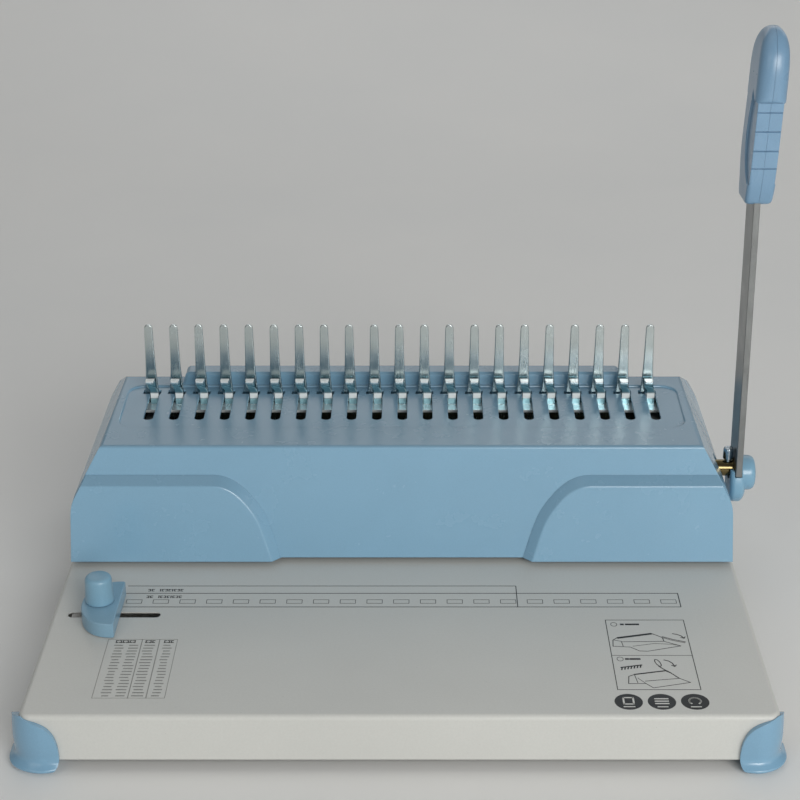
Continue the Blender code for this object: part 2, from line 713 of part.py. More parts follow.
def opener_arm(hand, side):
    pin_at = polar(28.0, 174.5)
    arm = plate("opener_arm_" + hand, SIDE,
                [capsule((AXIS_Y, AXIS_Z), 9.5, pin_at, 5.0), shaft_hole()],
                span(side, 160.6, 163.6), steel("arm_steel_" + hand), lever_axis)
    join(arm, rod("arm_pin_" + hand, 3.0, (side * 156.4, *pin_at), (side * 162.0, *pin_at),
                  parent=lever_axis, cutter=True, segments=16))


# ---- lever: bar, hub, cap and grip -----------------------------------------------------------------------------------------
# lever outlines: (distance up the bar from the axis, distance back from it)
LEVER_BAR = [
    (-9.6, 5.5), (-9.6, -5.5), (-6.5, -8.3), (-1.6, -8.3), (-1.6, -11.0), (235, -11.0),
    (238, -8.5), (238, 8.5), (235, 11.0), (-1.6, 11.0), (-1.6, 8.3), (-6.5, 8.3)]
GRIP_OUTLINE = [
    # front edge, upward
    (156.4, -9.0), (159.3, -12.5), (167.4, -15.5), (176.5, -18.0), (185.7, -18.5),
    (195.9, -17.5), (204.7, -16.0), (212.1, -15.5), (219.0, -16.5), (227.7, -17.5),
    (236.5, -17.0), (243.0, -13.5), (247.4, -7.5), (249.1, 0.0),
    # back edge, downward
    (247.8, 8.0), (243.4, 13.5), (236.5, 16.5), (227.7, 17.0), (217.3, 16.5), (205.6, 16.8),
    (193.8, 17.8), (182.1, 18.0), (171.4, 15.8), (161.6, 12.5), (156.4, 9.0)]

# (radius, height) from the crown down to the foot
CAP_PROFILE = [(0.0, 5.6), (5.6, 5.5), (7.9, 4.9), (9.1, 3.5), (9.4, 2.0), (9.4, 0.0), (0.0, 0.0)]

BAR_SLOT_X0, BAR_SLOT_X1 = LEVER_X0 - FIT, LEVER_X1 + FIT


def lever_bar():
    outline = [(AXIS_Y + back, AXIS_Z + up) for up, back in LEVER_BAR]
    plate("lever_bar", SIDE, [outline, shaft_hole()], (LEVER_X0, LEVER_X1),
          steel("lever_steel", grey=115, roughness=0.38), lever_axis, turn=LEVER_TILT)


def lever_cutter(name, x0, x1, half_y, low, high):
    """Box that leans with the lever; low and high are heights from the axis."""
    return block(name, (x0, AXIS_Y - half_y, AXIS_Z + low), (x1, AXIS_Y + half_y, AXIS_Z + high),
                 parent=lever_axis, cutter=True, turn=LEVER_TILT)


def lever_hub():
    outline = capsule((AXIS_Y, AXIS_Z - HUB_DROP), 10.6, (AXIS_Y, AXIS_Z - 7.8), 12.0, 16)
    hub = plate("lever_hub", SIDE, [outline, shaft_hole()], (184.9, 193.6), blue("hub_plastic"),
                lever_axis, turn=LEVER_TILT)
    cut(hub, lever_cutter("hub_slot", BAR_SLOT_X0, BAR_SLOT_X1, 14, -1.9, 30))
    cut(hub, lever_cutter("hub_slot_foot", BAR_SLOT_X0, BAR_SLOT_X1, 8.6, -9.9, 0))
    cut(hub, lever_cutter("hub_low_cheek", 180.0, BAR_SLOT_X0 + 1.0, 14, 1.4, 30))


def pivot_cap():
    lean = math.radians(LEAN)
    at = (193.9, AXIS_Y - HUB_DROP * math.sin(lean), AXIS_Z - HUB_DROP * math.cos(lean))
    turned("pivot_cap", CAP_PROFILE, at, (1, 0, 0), blue("cap_plastic"), lever_axis, segments=28)


def grip_shell(which, x0, x1, rim_x):
    """One half of the grip, rounded at rim_x and sheared outward toward its head."""
    name = "grip_shell_" + which
    shape = bmesh.new()
    add_prism(shape, [(x0, AXIS_Y + back, AXIS_Z + up) for up, back in GRIP_OUTLINE],
              (x1 - x0, 0, 0))
    bmesh.ops.recalc_face_normals(shape, faces=shape.faces)
    rim = [edge for edge in shape.edges if edge.calc_face_angle(0) > math.radians(60)
           and abs((edge.verts[0].co.x + edge.verts[1].co.x) / 2 - rim_x) < 0.1]
    bevel_edges(shape, rim, width=3.2, segments=3)
    for vert in shape.verts:
        vert.co.x += GRIP_LEAN * (vert.co.z - AXIS_Z - 160.0) / GRIP_RISE
    shell = put(mesh_object(name, shape), blue("grip_plastic_" + which, shade=0.93), lever_axis,
                LEVER_TILT)
    cut(shell, lever_cutter(name + "_pocket", BAR_SLOT_X0, BAR_SLOT_X1, 11.8, 150, 238.4))


# ---- ring opener ---------------------------------------------------------------------------------------------------------------
def hook_posts():
    """Upright of every hook, stepped sideways from its slot to its tine."""
    shape = bmesh.new()
    for x in TOOTH_X:
        low = x + SLOT_DX
        outline = [(low - 2.2, 63.4), (low + 2.2, 63.4), (low + 2.2, 73.2), (x + 2.3, 75.0),
                   (x + 2.3, 80.4), (x - 2.3, 80.4), (x - 2.3, 75.0), (low - 2.2, 73.2)]
        add_prism(shape, [(px, 223.4, pz) for px, pz in outline], (0, 1.6, 0))
    return put(mesh_object("hook_posts", shape), parent=opener_axis, cutter=True)


def hook_tips():
    """Forward-pointing tip of every hook."""
    shape = bmesh.new()
    for x in TOOTH_X:
        add_box(shape, (4.6, 6.0, 1.5), (x, 221.4, 79.65))
    return put(mesh_object("hook_tips", shape), parent=opener_axis, cutter=True)


def opener_slide():
    """One sheet with ears, legs and hooks."""
    end, ear = OPENER_HALF, 150
    outline = [(-end, 186), (-ear, 186), (-ear, 215.3), (ear, 215.3), (ear, 186), (end, 186),
               (end, 226), (-end, 226)]
    opener = plate("opener_slide", FLAT, [outline], (OPENER_Z, 64.2),
                   steel("opener_steel", grey=190, roughness=0.25), opener_axis)
    leg = [(179.5, 7.5), (185.5, 7.5), (185.5, 45.8), (222, 45.8), (222, 63.4), (196, 63.4),
           (179.5, 36)]
    for side, hand in SIDES:
        join(opener, plate("opener_leg_" + hand, SIDE, [leg], span(side, 156.8, OPENER_HALF),
                           parent=opener_axis, cutter=True))
    join(opener, hook_posts())
    join(opener, hook_tips())


# ---- paper guide -----------------------------------------------------------------------------------------------------------------
def edge_guide():
    """D-shaped block: straight on the right, bulging to the left."""
    flat_x, middle_y, half, bulge = -148.0, 93.5, 22.5, 19.7
    outline = [(flat_x, middle_y - half), (flat_x, middle_y + half)]
    for k in range(1, 12):
        angle = math.pi * k / 12
        outline.append((flat_x - bulge * math.sin(angle) ** 0.8, middle_y + half * math.cos(angle)))
    plate("edge_guide", FLAT, [outline, circle(GUIDE_X, GUIDE_Y, 2.2, 16)], (FIT, GUIDE_TOP),
          blue("guide_plastic", shade=0.98), guide_slide)


def guide_knob():
    """Knob with its stem down through the guide and the deck."""
    profile = [(0.0, 14.9), (6.0, 14.9), (7.0, 13.7), (7.5, 0.0), (1.7, 0.0), (1.7, -15.5),
               (0.0, -15.5)]
    turned("guide_knob", profile, (GUIDE_X, GUIDE_Y, KNOB_Z), (0, 0, 1), blue("knob_plastic"),
           knob_axis)


def guide_nut():
    half = 5
    outline = rect(GUIDE_X - half, GUIDE_Y - half, GUIDE_X + half, GUIDE_Y + half)
    plate("guide_nut", FLAT, [outline, circle(GUIDE_X, GUIDE_Y, 2.0, 16)], (-5.0, UNDER_DECK),
          steel("nut_steel"), guide_slide)


# ---- chip tray -------------------------------------------------------------------------------------------------------------------
def chip_tray():
    """Long open tray with an end plate and a pull at the left."""
    shape = open_box((336.0, 36.0, 13.0), lambda z: z > 6.0)
    tray = put(mesh_object("chip_tray", shape),
               material("tray_plastic", rgb=(70, 74, 78), roughness=0.5), tray_slide,
               Matrix.Translation((-15.0, TRAY_Y, -14.9)))
    solidify(tray, "wall", 1.4)
    join(tray, block("tray_front", (-BASE_W / 2, 149.3, -22.1), (-181.4, 186.7, -5.4),
                     parent=tray_slide, cutter=True))
    join(tray, block("tray_pull", (-188.0, 160.0, -16.0), (-184.0, 176.0, -13.0),
                     parent=tray_slide, cutter=True))


def tray_runner():
    """U-shaped channel under the deck, round the tray."""
    outline = [(146.6, -24.2), (189.4, -24.2), (189.4, -2.1), (188.0, -2.1), (188.0, -22.8),
               (148.0, -22.8), (148.0, -2.1), (146.6, -2.1)]
    plate("tray_runner", SIDE, [outline], (-181.0, 160.0),
          steel("runner_zinc", grey=165, roughness=0.4))


# ---- assembly --------------------------------------------------------------------------------------------------------------------
base_plate()
for side, hand in SIDES:
    for end in ("front", "rear"):
        foot(end, hand, side)
top_cover()
for build in (cross_frame, die_plate, guide_plate, paper_stop, tine_plate, punch_bar,
              pin_retainer, punch_pins, main_shaft):
    build()
for build in (side_frame, shaft_bush, slide_rail, punch_cam, return_spring, drive_dog,
              opener_arm):
    for side, hand in SIDES:
        build(hand, side)
lever_bar()
lever_hub()
pivot_cap()
grip_shell("inner", GRIP_X - GRIP_W, GRIP_X - 0.1, rim_x=GRIP_X - GRIP_W)
grip_shell("outer", GRIP_X + 0.1, GRIP_X + GRIP_W, rim_x=GRIP_X + GRIP_W)
for build in (opener_slide, edge_guide, guide_knob, guide_nut, chip_tray, tray_runner):
    build()
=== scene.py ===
"""Looks of the comb binding machine: fine surfaces, materials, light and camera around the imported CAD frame.

Lengths inside the builders are millimetres in the machine's own frame: X to the right from the base's centre line,
Y to the back from the base's front edge, Z up from the top of the paper deck. FRAME carries them into the row frame.
"""
import math

import bmesh
import bpy
from mathutils import Matrix, Vector


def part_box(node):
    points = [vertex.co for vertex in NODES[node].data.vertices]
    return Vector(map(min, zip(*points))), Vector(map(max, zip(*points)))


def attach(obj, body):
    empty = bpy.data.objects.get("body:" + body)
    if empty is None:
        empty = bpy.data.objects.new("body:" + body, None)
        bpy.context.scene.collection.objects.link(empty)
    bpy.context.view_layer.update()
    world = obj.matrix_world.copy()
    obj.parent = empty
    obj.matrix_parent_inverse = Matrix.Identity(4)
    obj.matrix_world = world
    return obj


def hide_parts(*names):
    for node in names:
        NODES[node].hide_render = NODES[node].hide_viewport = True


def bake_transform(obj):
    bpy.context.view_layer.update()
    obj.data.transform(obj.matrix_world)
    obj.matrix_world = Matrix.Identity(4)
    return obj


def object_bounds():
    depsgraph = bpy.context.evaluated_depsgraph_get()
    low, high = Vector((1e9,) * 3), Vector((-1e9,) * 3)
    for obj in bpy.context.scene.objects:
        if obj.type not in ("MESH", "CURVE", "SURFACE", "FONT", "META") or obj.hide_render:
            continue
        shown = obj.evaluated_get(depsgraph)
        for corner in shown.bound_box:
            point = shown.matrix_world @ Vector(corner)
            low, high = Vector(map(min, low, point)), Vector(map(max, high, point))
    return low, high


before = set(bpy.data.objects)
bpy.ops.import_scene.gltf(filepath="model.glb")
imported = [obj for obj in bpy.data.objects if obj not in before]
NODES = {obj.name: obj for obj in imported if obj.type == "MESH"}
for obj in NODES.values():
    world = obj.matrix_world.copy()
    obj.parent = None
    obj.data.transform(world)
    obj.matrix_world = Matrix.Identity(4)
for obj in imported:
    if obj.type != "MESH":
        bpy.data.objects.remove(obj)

cad_lo, cad_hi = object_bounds()
MM = 0.001

base_lo, base_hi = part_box("base_plate")
ORIGIN = Vector(((base_lo.x + base_hi.x) / 2.0, base_lo.y, base_hi.z))
FRAME = Matrix.Translation(ORIGIN) @ Matrix.Scale(MM, 4)


def mm(node):
    """A CAD node's box in machine millimetres."""
    lo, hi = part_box(node)
    return (lo - ORIGIN) / MM, (hi - ORIGIN) / MM


BASE_LO, BASE_HI = mm("base_plate")
HALF_W = (BASE_HI.x - BASE_LO.x) / 2.0           # 184.3
BASE_D = BASE_HI.y - BASE_LO.y                   # 296
SKIRT = BASE_HI.z - BASE_LO.z                    # 25
COVER_LO, COVER_HI = mm("top_cover")
SHAFT_LO, SHAFT_HI = mm("shaft_bush_left")
AXIS_Y = (SHAFT_LO.y + SHAFT_HI.y) / 2.0         # 192
AXIS_Z = (SHAFT_LO.z + SHAFT_HI.z) / 2.0         # 39
PIN1, PIN21 = mm("punch_pin_01"), mm("punch_pin_21")
X_FIRST = (PIN1[0].x + PIN1[1].x) / 2.0
X_LAST = (PIN21[0].x + PIN21[1].x) / 2.0
TEETH = 21
PITCH = (X_LAST - X_FIRST) / (TEETH - 1)
PUNCH_Y = (PIN1[0].y + PIN1[1].y) / 2.0          # 167.5
KNOB_LO, KNOB_HI = mm("guide_knob")
GUIDE_X, GUIDE_Y = (KNOB_LO.x + KNOB_HI.x) / 2.0, (KNOB_LO.y + KNOB_HI.y) / 2.0
LEAN = math.radians(3.16)
TILT = (Matrix.Translation((0, AXIS_Y, AXIS_Z)) @ Matrix.Rotation(-LEAN, 4, 'X')
        @ Matrix.Translation((0, -AXIS_Y, -AXIS_Z)))


def tooth_x(i):
    return X_FIRST + i * PITCH


hidden = bpy.data.collections.new("work")
bpy.context.scene.collection.children.link(hidden)


# ---------------------------------------------------------------- mesh helpers
def to_mesh(bm, name, turn=None, recalc=True):
    if recalc:
        bmesh.ops.recalc_face_normals(bm, faces=bm.faces)
    me = bpy.data.meshes.new(name)
    bm.to_mesh(me)
    bm.free()
    if turn is not None:
        me.transform(turn)
    me.transform(FRAME)
    return me


def solid(name, bm, turn=None):
    ob = bpy.data.objects.new(name, to_mesh(bm, name, turn))
    bpy.context.scene.collection.objects.link(ob)
    return ob


def volume_out(bm):
    """Turn all faces outward by the sign of the enclosed volume."""
    bmesh.ops.recalc_face_normals(bm, faces=bm.faces)
    if bm.calc_volume(signed=True) < 0:
        bmesh.ops.reverse_faces(bm, faces=bm.faces)


def bake(ob):
    """Replace an object's mesh by its evaluated mesh and drop the modifiers."""
    bpy.context.view_layer.update()
    dg = bpy.context.evaluated_depsgraph_get()
    me = bpy.data.meshes.new_from_object(ob.evaluated_get(dg))
    ob.modifiers.clear()
    ob.data = me
    return ob


def cut(ob, *tools, op='DIFFERENCE'):
    """Boolean ob with each tool in turn, then remove the tools."""
    for t in tools:
        m = ob.modifiers.new("b", 'BOOLEAN')
        m.operation = op
        m.solver = 'EXACT'
        m.object = t
        bake(ob)
        bpy.data.objects.remove(t, do_unlink=True)
    return ob


def rings_solid(name, rings, turn=None, closed=True):
    """A closed solid through rings of equal point count, capped at both ends."""
    bm = bmesh.new()
    vs = [[bm.verts.new(p) for p in r] for r in rings]
    n = len(rings[0])
    for a, b in zip(vs, vs[1:]):
        for i in range(n):
            j = (i + 1) % n
            bm.faces.new((a[i], a[j], b[j], b[i]))
    bm.faces.new(list(reversed(vs[0])))
    bm.faces.new(vs[-1])
    volume_out(bm)
    return solid(name, bm, turn)


def prism(name, outline, t0, t1, plane, turn=None, chamfer=0.0, chamfer0=0.0):
    """An outline pulled from t0 to t1. plane 'Z': outline (x, y); 'X': (y, z); 'Y': (x, z).
    chamfer takes the t1 edge in by that much, chamfer0 the t0 edge."""
    def at(u, v, t):
        return {'Z': (u, v, t), 'X': (t, u, v), 'Y': (u, t, v)}[plane]
    sgn = 1 if t1 > t0 else -1
    rings = []
    if chamfer0:
        rings.append([at(u, v, t0) for u, v in shrink(outline, chamfer0)])
        rings.append([at(u, v, t0 + sgn * chamfer0) for u, v in outline])
    else:
        rings.append([at(u, v, t0) for u, v in outline])
    if chamfer:
        rings.append([at(u, v, t1 - sgn * chamfer) for u, v in outline])
        rings.append([at(u, v, t1) for u, v in shrink(outline, chamfer)])
    else:
        rings.append([at(u, v, t1) for u, v in outline])
    return rings_solid(name, rings, turn)


def area(pts):
    return 0.5 * sum(pts[i][0] * pts[(i + 1) % len(pts)][1] - pts[(i + 1) % len(pts)][0] * pts[i][1]
                     for i in range(len(pts)))


def shrink(pts, d):
    """Offset a closed outline inwards by d (outwards when negative)."""
    n = len(pts)
    s = 1.0 if area(pts) > 0 else -1.0
    out = []
    for i in range(n):
        p, q, r = pts[i - 1], pts[i], pts[(i + 1) % n]
        ax, ay = q[0] - p[0], q[1] - p[1]
        bx, by = r[0] - q[0], r[1] - q[1]
        la, lb = math.hypot(ax, ay) or 1e-9, math.hypot(bx, by) or 1e-9
        nx, ny = -(ay / la + by / lb) * s, (ax / la + bx / lb) * s
        k = math.hypot(nx, ny) or 1e-9
        nx, ny = nx / k, ny / k
        c = max(0.35, (-ay / la * s) * nx + (ax / la * s) * ny)
        out.append((q[0] + nx * d / c, q[1] + ny * d / c))
    return out


def circle(cx, cy, r, n=32, a0=0.0):
    return [(cx + r * math.cos(a0 + 2 * math.pi * i / n), cy + r * math.sin(a0 + 2 * math.pi * i / n))
            for i in range(n)]


def rounded(pts, radii, n=6):
    """Round the corners of a closed outline; radii is one number or one per corner."""
    if not isinstance(radii, (list, tuple)):
        radii = [radii] * len(pts)
    out = []
    for i, q in enumerate(pts):
        r = radii[i]
        p, s = Vector(pts[i - 1]), Vector(pts[(i + 1) % len(pts)])
        q = Vector(q)
        if r <= 0:
            out.append(tuple(q))
            continue
        a, b = (p - q), (s - q)
        la, lb = a.length, b.length
        a, b = a.normalized(), b.normalized()
        half = math.acos(max(-1, min(1, a.dot(b)))) / 2
        t = min(r / math.tan(half), la * 0.49, lb * 0.49)
        rr = t * math.tan(half)
        c = q + (a + b).normalized() * (rr / math.sin(half))
        p0, p1 = q + a * t, q + b * t
        v0, v1 = p0 - c, p1 - c
        a0, a1 = math.atan2(v0.y, v0.x), math.atan2(v1.y, v1.x)
        d = (a1 - a0 + math.pi) % (2 * math.pi) - math.pi
        for k in range(n + 1):
            w = a0 + d * k / n
            out.append((c.x + rr * math.cos(w), c.y + rr * math.sin(w)))
    return out


def box(name, lo, hi, turn=None, radius=0.0, segs=3):
    bm = bmesh.new()
    c, s = (Vector(lo) + Vector(hi)) / 2, Vector(hi) - Vector(lo)
    bmesh.ops.create_cube(bm, size=1.0, matrix=Matrix.Translation(c) @ Matrix.Diagonal((s.x, s.y, s.z, 1)))
    if radius:
        bmesh.ops.bevel(bm, geom=bm.edges[:], offset=radius, offset_type='OFFSET', segments=segs, profile=0.5,
                        affect='EDGES')
    volume_out(bm)
    return solid(name, bm, turn)


def lathe(name, profile, at, along, segs=48, turn=None):
    """A turned solid: profile of (radius, height) from axis to axis."""
    q = Vector((0, 0, 1)).rotation_difference(Vector(along)).to_matrix().to_4x4()
    m = Matrix.Translation(at) @ q
    bm = bmesh.new()
    rows = []
    for r, h in profile:
        if r < 1e-6:
            rows.append([bm.verts.new(m @ Vector((0, 0, h)))])
        else:
            rows.append([bm.verts.new(m @ Vector((r * math.cos(2 * math.pi * i / segs),
                                                  r * math.sin(2 * math.pi * i / segs), h))) for i in range(segs)])
    for a, b in zip(rows, rows[1:]):
        for i in range(segs):
            j = (i + 1) % segs
            if len(a) == 1 and len(b) == 1:
                continue
            if len(a) == 1:
                bm.faces.new((a[0], b[i], b[j]))
            elif len(b) == 1:
                bm.faces.new((a[i], a[j], b[0]))
            else:
                bm.faces.new((a[i], a[j], b[j], b[i]))
    volume_out(bm)
    return solid(name, bm, turn)


def finish_mesh(ob, deg=32, bevel=0.0, segs=3, weighted=True, limit=35):
    """Tidy, shade smooth with sharp creases, and soften the edges."""
    bm = bmesh.new()
    bm.from_mesh(ob.data)
    bmesh.ops.remove_doubles(bm, verts=bm.verts, dist=2e-7)
    bmesh.ops.dissolve_degenerate(bm, dist=1e-7, edges=bm.edges)
    bm.to_mesh(ob.data)
    bm.free()
    if bevel:
        m = ob.modifiers.new("soft_edges", 'BEVEL')
        m.width = bevel * MM
        m.segments = segs
        m.limit_method = 'ANGLE'
        m.angle_limit = math.radians(limit)
        m.use_clamp_overlap = True
        m.miter_outer = 'MITER_ARC'
        m.harden_normals = False
        bake(ob)
    ob.data.shade_smooth()
    ob.data.set_sharp_from_angle(angle=math.radians(deg))
    if weighted:
        m = ob.modifiers.new("weighted", 'WEIGHTED_NORMAL')
        m.keep_sharp = True
        m.weight = 60
    return ob


def piece(ob, material, body, slot, *nodes):
    """Give a new piece its material and body, and let it stand for the CAD nodes it shows; the slot argument is not
    used.
    """
    ob.data.materials.clear()
    ob.data.materials.append(material)
    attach(ob, body)
    if nodes:
        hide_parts(*nodes)
    return ob


# ---------------------------------------------------------------- materials
def lin(c):
    c = c / 255.0
    return c / 12.92 if c <= 0.04045 else ((c + 0.055) / 1.055) ** 2.4


def rgb(r, g, b):
    return (lin(r), lin(g), lin(b), 1.0)


class Nodes:
    """A short way to write a material's node tree."""

    def __init__(self, name):
        self.m = bpy.data.materials.new(name)
        self.m.use_nodes = True
        self.t = self.m.node_tree
        self.b = self.t.nodes["Principled BSDF"]
        self.co = self.t.nodes.new("ShaderNodeTexCoord").outputs["Object"]

    def link(self, a, b):
        self.t.links.new(a, b)

    def set(self, node, **vals):
        for k, v in vals.items():
            s = node.inputs[k.replace("_", " ")]
            if hasattr(v, "is_output"):
                self.link(v, s)
            else:
                s.default_value = v
        return node

    def scaled(self, sx, sy, sz, rot=(0, 0, 0)):
        n = self.t.nodes.new("ShaderNodeMapping")
        self.link(self.co, n.inputs["Vector"])
        n.inputs["Scale"].default_value = (sx, sy, sz)
        n.inputs["Rotation"].default_value = rot
        return n.outputs["Vector"]

    def noise(self, scale, detail=3.0, rough=0.55, vec=None, distort=0.0):
        n = self.t.nodes.new("ShaderNodeTexNoise")
        self.link(vec if vec is not None else self.co, n.inputs["Vector"])
        self.set(n, Scale=scale, Detail=detail, Roughness=rough, Distortion=distort)
        return n.outputs["Fac"]

    def cells(self, scale, vec=None, feature='F1', rnd=1.0):
        n = self.t.nodes.new("ShaderNodeTexVoronoi")
        n.feature = feature
        self.link(vec if vec is not None else self.co, n.inputs["Vector"])
        n.inputs["Scale"].default_value = scale
        n.inputs["Randomness"].default_value = rnd
        return n

    def ramp(self, fac, a, b, lo=0.0, hi=1.0):
        """fac from a..b remapped to lo..hi."""
        n = self.t.nodes.new("ShaderNodeMapRange")
        n.clamp = True
        self.set(n, Value=fac)
        n.inputs["From Min"].default_value = a
        n.inputs["From Max"].default_value = b
        n.inputs["To Min"].default_value = lo
        n.inputs["To Max"].default_value = hi
        return n.outputs["Result"]

    def math(self, op, a, b=0.0):
        n = self.t.nodes.new("ShaderNodeMath")
        n.operation = op
        for s, v in zip(n.inputs, (a, b)):
            if hasattr(v, "is_output"):
                self.link(v, s)
            else:
                s.default_value = v
        return n.outputs[0]

    def mix(self, fac, a, b, mode='MIX'):
        n = self.t.nodes.new("ShaderNodeMix")
        n.data_type = 'RGBA'
        n.blend_type = mode
        for s, v in ((n.inputs[0], fac), (n.inputs[6], a), (n.inputs[7], b)):
            if hasattr(v, "is_output"):
                self.link(v, s)
            else:
                s.default_value = v
        return n.outputs[2]

    def soft(self, radius, samples=4):
        """Normal rounded over sharp edges."""
        n = self.t.nodes.new("ShaderNodeBevel")
        n.samples = samples
        n.inputs["Radius"].default_value = radius * MM
        return n.outputs["Normal"]

    def edge(self, soft, lo=0.02, hi=0.25):
        """Mask that is 1 on edges, from how far the rounded normal leaves the true one."""
        g = self.t.nodes.new("ShaderNodeNewGeometry")
        d = self.t.nodes.new("ShaderNodeVectorMath")
        d.operation = 'DOT_PRODUCT'
        self.link(soft, d.inputs[0])
        self.link(g.outputs["Normal"], d.inputs[1])
        return self.ramp(self.math('SUBTRACT', 1.0, d.outputs["Value"]), lo, hi)

    def up(self):
        """How much a face looks up, 0..1."""
        g = self.t.nodes.new("ShaderNodeNewGeometry")
        s = self.t.nodes.new("ShaderNodeSeparateXYZ")
        self.link(g.outputs["Normal"], s.inputs[0])
        return self.ramp(s.outputs["Z"], 0.3, 1.0)

    def bump(self, height, strength, dist, normal=None):
        n = self.t.nodes.new("ShaderNodeBump")
        n.inputs["Strength"].default_value = strength
        n.inputs["Distance"].default_value = dist * MM
        self.link(height, n.inputs["Height"])
        if normal is not None:
            self.link(normal, n.inputs["Normal"])
        return n.outputs["Normal"]

    def shade(self, v):
        """A grey colour from a value, to multiply with."""
        n = self.t.nodes.new("ShaderNodeCombineColor")
        for s in n.inputs[:3]:
            self.link(v, s)
        return n.outputs[0]


def plastic(name, colour, rough=0.34, grain=0.10, soft=0.5, coat=0.15, worn=0.25, patch=0.06, painted_top_shade=0.0):
    """Moulded plastic: fine spark-eroded grain, faint flow patches, lighter rubbed edges, a few fine scratches, dust,
    and an optional painted shade on the faces that look up.
    """
    n = Nodes(name)
    round_n = n.soft(soft)
    patches = n.ramp(n.noise(22, 2, 0.5, distort=0.6), 0.3, 0.7, 1 - patch, 1 + patch)
    fine = n.ramp(n.noise(1400, 2), 0.3, 0.7, 0.975, 1.025)
    c = n.mix(1.0, colour, n.shade(n.math('MULTIPLY', patches, fine)), 'MULTIPLY')
    edge = n.edge(round_n)
    rub = n.math('MULTIPLY', edge, n.ramp(n.noise(160, 3), 0.35, 0.7, 0.25, 1.0))
    light = tuple(min(1.0, x * 1.35 + 0.03) for x in colour[:3]) + (1.0,)
    c = n.mix(n.math('MULTIPLY', rub, worn), c, light)
    # painted shade: faces that look up are darkened towards dark blue, standing in for the shade on the cover's top
    if painted_top_shade:
        c = n.mix(n.math('MULTIPLY', n.up(), painted_top_shade), c, (0.02, 0.035, 0.05, 1))
    dust = n.math('MULTIPLY', n.up(), n.ramp(n.noise(26, 5, 0.7), 0.42, 0.85, 0.0, 0.03))
    c = n.mix(dust, c, (0.52, 0.52, 0.50, 1))
    scr = n.noise(90, 4, 0.6, n.scaled(1, 26, 3, (0.2, 0.1, 0.5)))
    scratch = n.ramp(scr, 0.68, 0.76, 0.0, 0.5)
    r = n.math('ADD', n.ramp(n.noise(45, 4, 0.6), 0.3, 0.7, rough - 0.05, rough + 0.06),
               n.math('MULTIPLY', scratch, 0.015))
    r = n.math('ADD', r, n.math('MULTIPLY', dust, 1.2))
    h = n.math('ADD', n.math('MULTIPLY', n.noise(1900, 2, 0.5), 1.0), n.math('MULTIPLY', n.noise(90, 2), 0.2))
    n.set(n.b, Base_Color=c, Roughness=r, Normal=n.bump(h, grain, 0.12, round_n), Coat_Weight=coat, Coat_Roughness=0.22)
    n.b.inputs["IOR"].default_value = 1.5
    return n.m


def paint(name, colour, rough=0.42):
    """Powder-coated sheet: orange peel, slight mottling, tiny specks, worn corners, faint scuffs."""
    n = Nodes(name)
    round_n = n.soft(0.6)
    mott = n.ramp(n.noise(9, 3, 0.5), 0.3, 0.7, 0.97, 1.03)
    fine = n.ramp(n.noise(900, 2), 0.3, 0.7, 0.98, 1.02)
    c = n.mix(1.0, colour, n.shade(n.math('MULTIPLY', mott, fine)), 'MULTIPLY')
    spk = n.cells(420)
    specks = n.math('MULTIPLY', n.ramp(spk.outputs["Distance"], 0.05, 0.10, 1.0, 0.0),
                    n.ramp(n.noise(300, 1), 0.66, 0.70))
    c = n.mix(n.math('MULTIPLY', specks, 0.35), c, (0.10, 0.10, 0.10, 1))
    edge = n.edge(round_n, 0.03, 0.30)
    c = n.mix(n.math('MULTIPLY', edge, n.ramp(n.noise(120, 3), 0.45, 0.75, 0.05, 0.35)), c,
              (colour[0] * 1.18, colour[1] * 1.18, colour[2] * 1.18, 1))
    scuff = n.ramp(n.noise(40, 5, 0.65, n.scaled(1, 9, 1, (0, 0, 0.9))), 0.66, 0.76, 0.0, 1.0)
    r = n.math('ADD', n.ramp(n.noise(30, 4, 0.6), 0.3, 0.7, rough - 0.05, rough + 0.07),
               n.math('MULTIPLY', scuff, -0.07))
    peel = n.math('ADD', n.noise(520, 1.5, 0.45), n.math('MULTIPLY', n.noise(1500, 1), 0.35))
    n.set(n.b, Base_Color=c, Roughness=r, Normal=n.bump(peel, 0.10, 0.16, round_n))
    return n.m


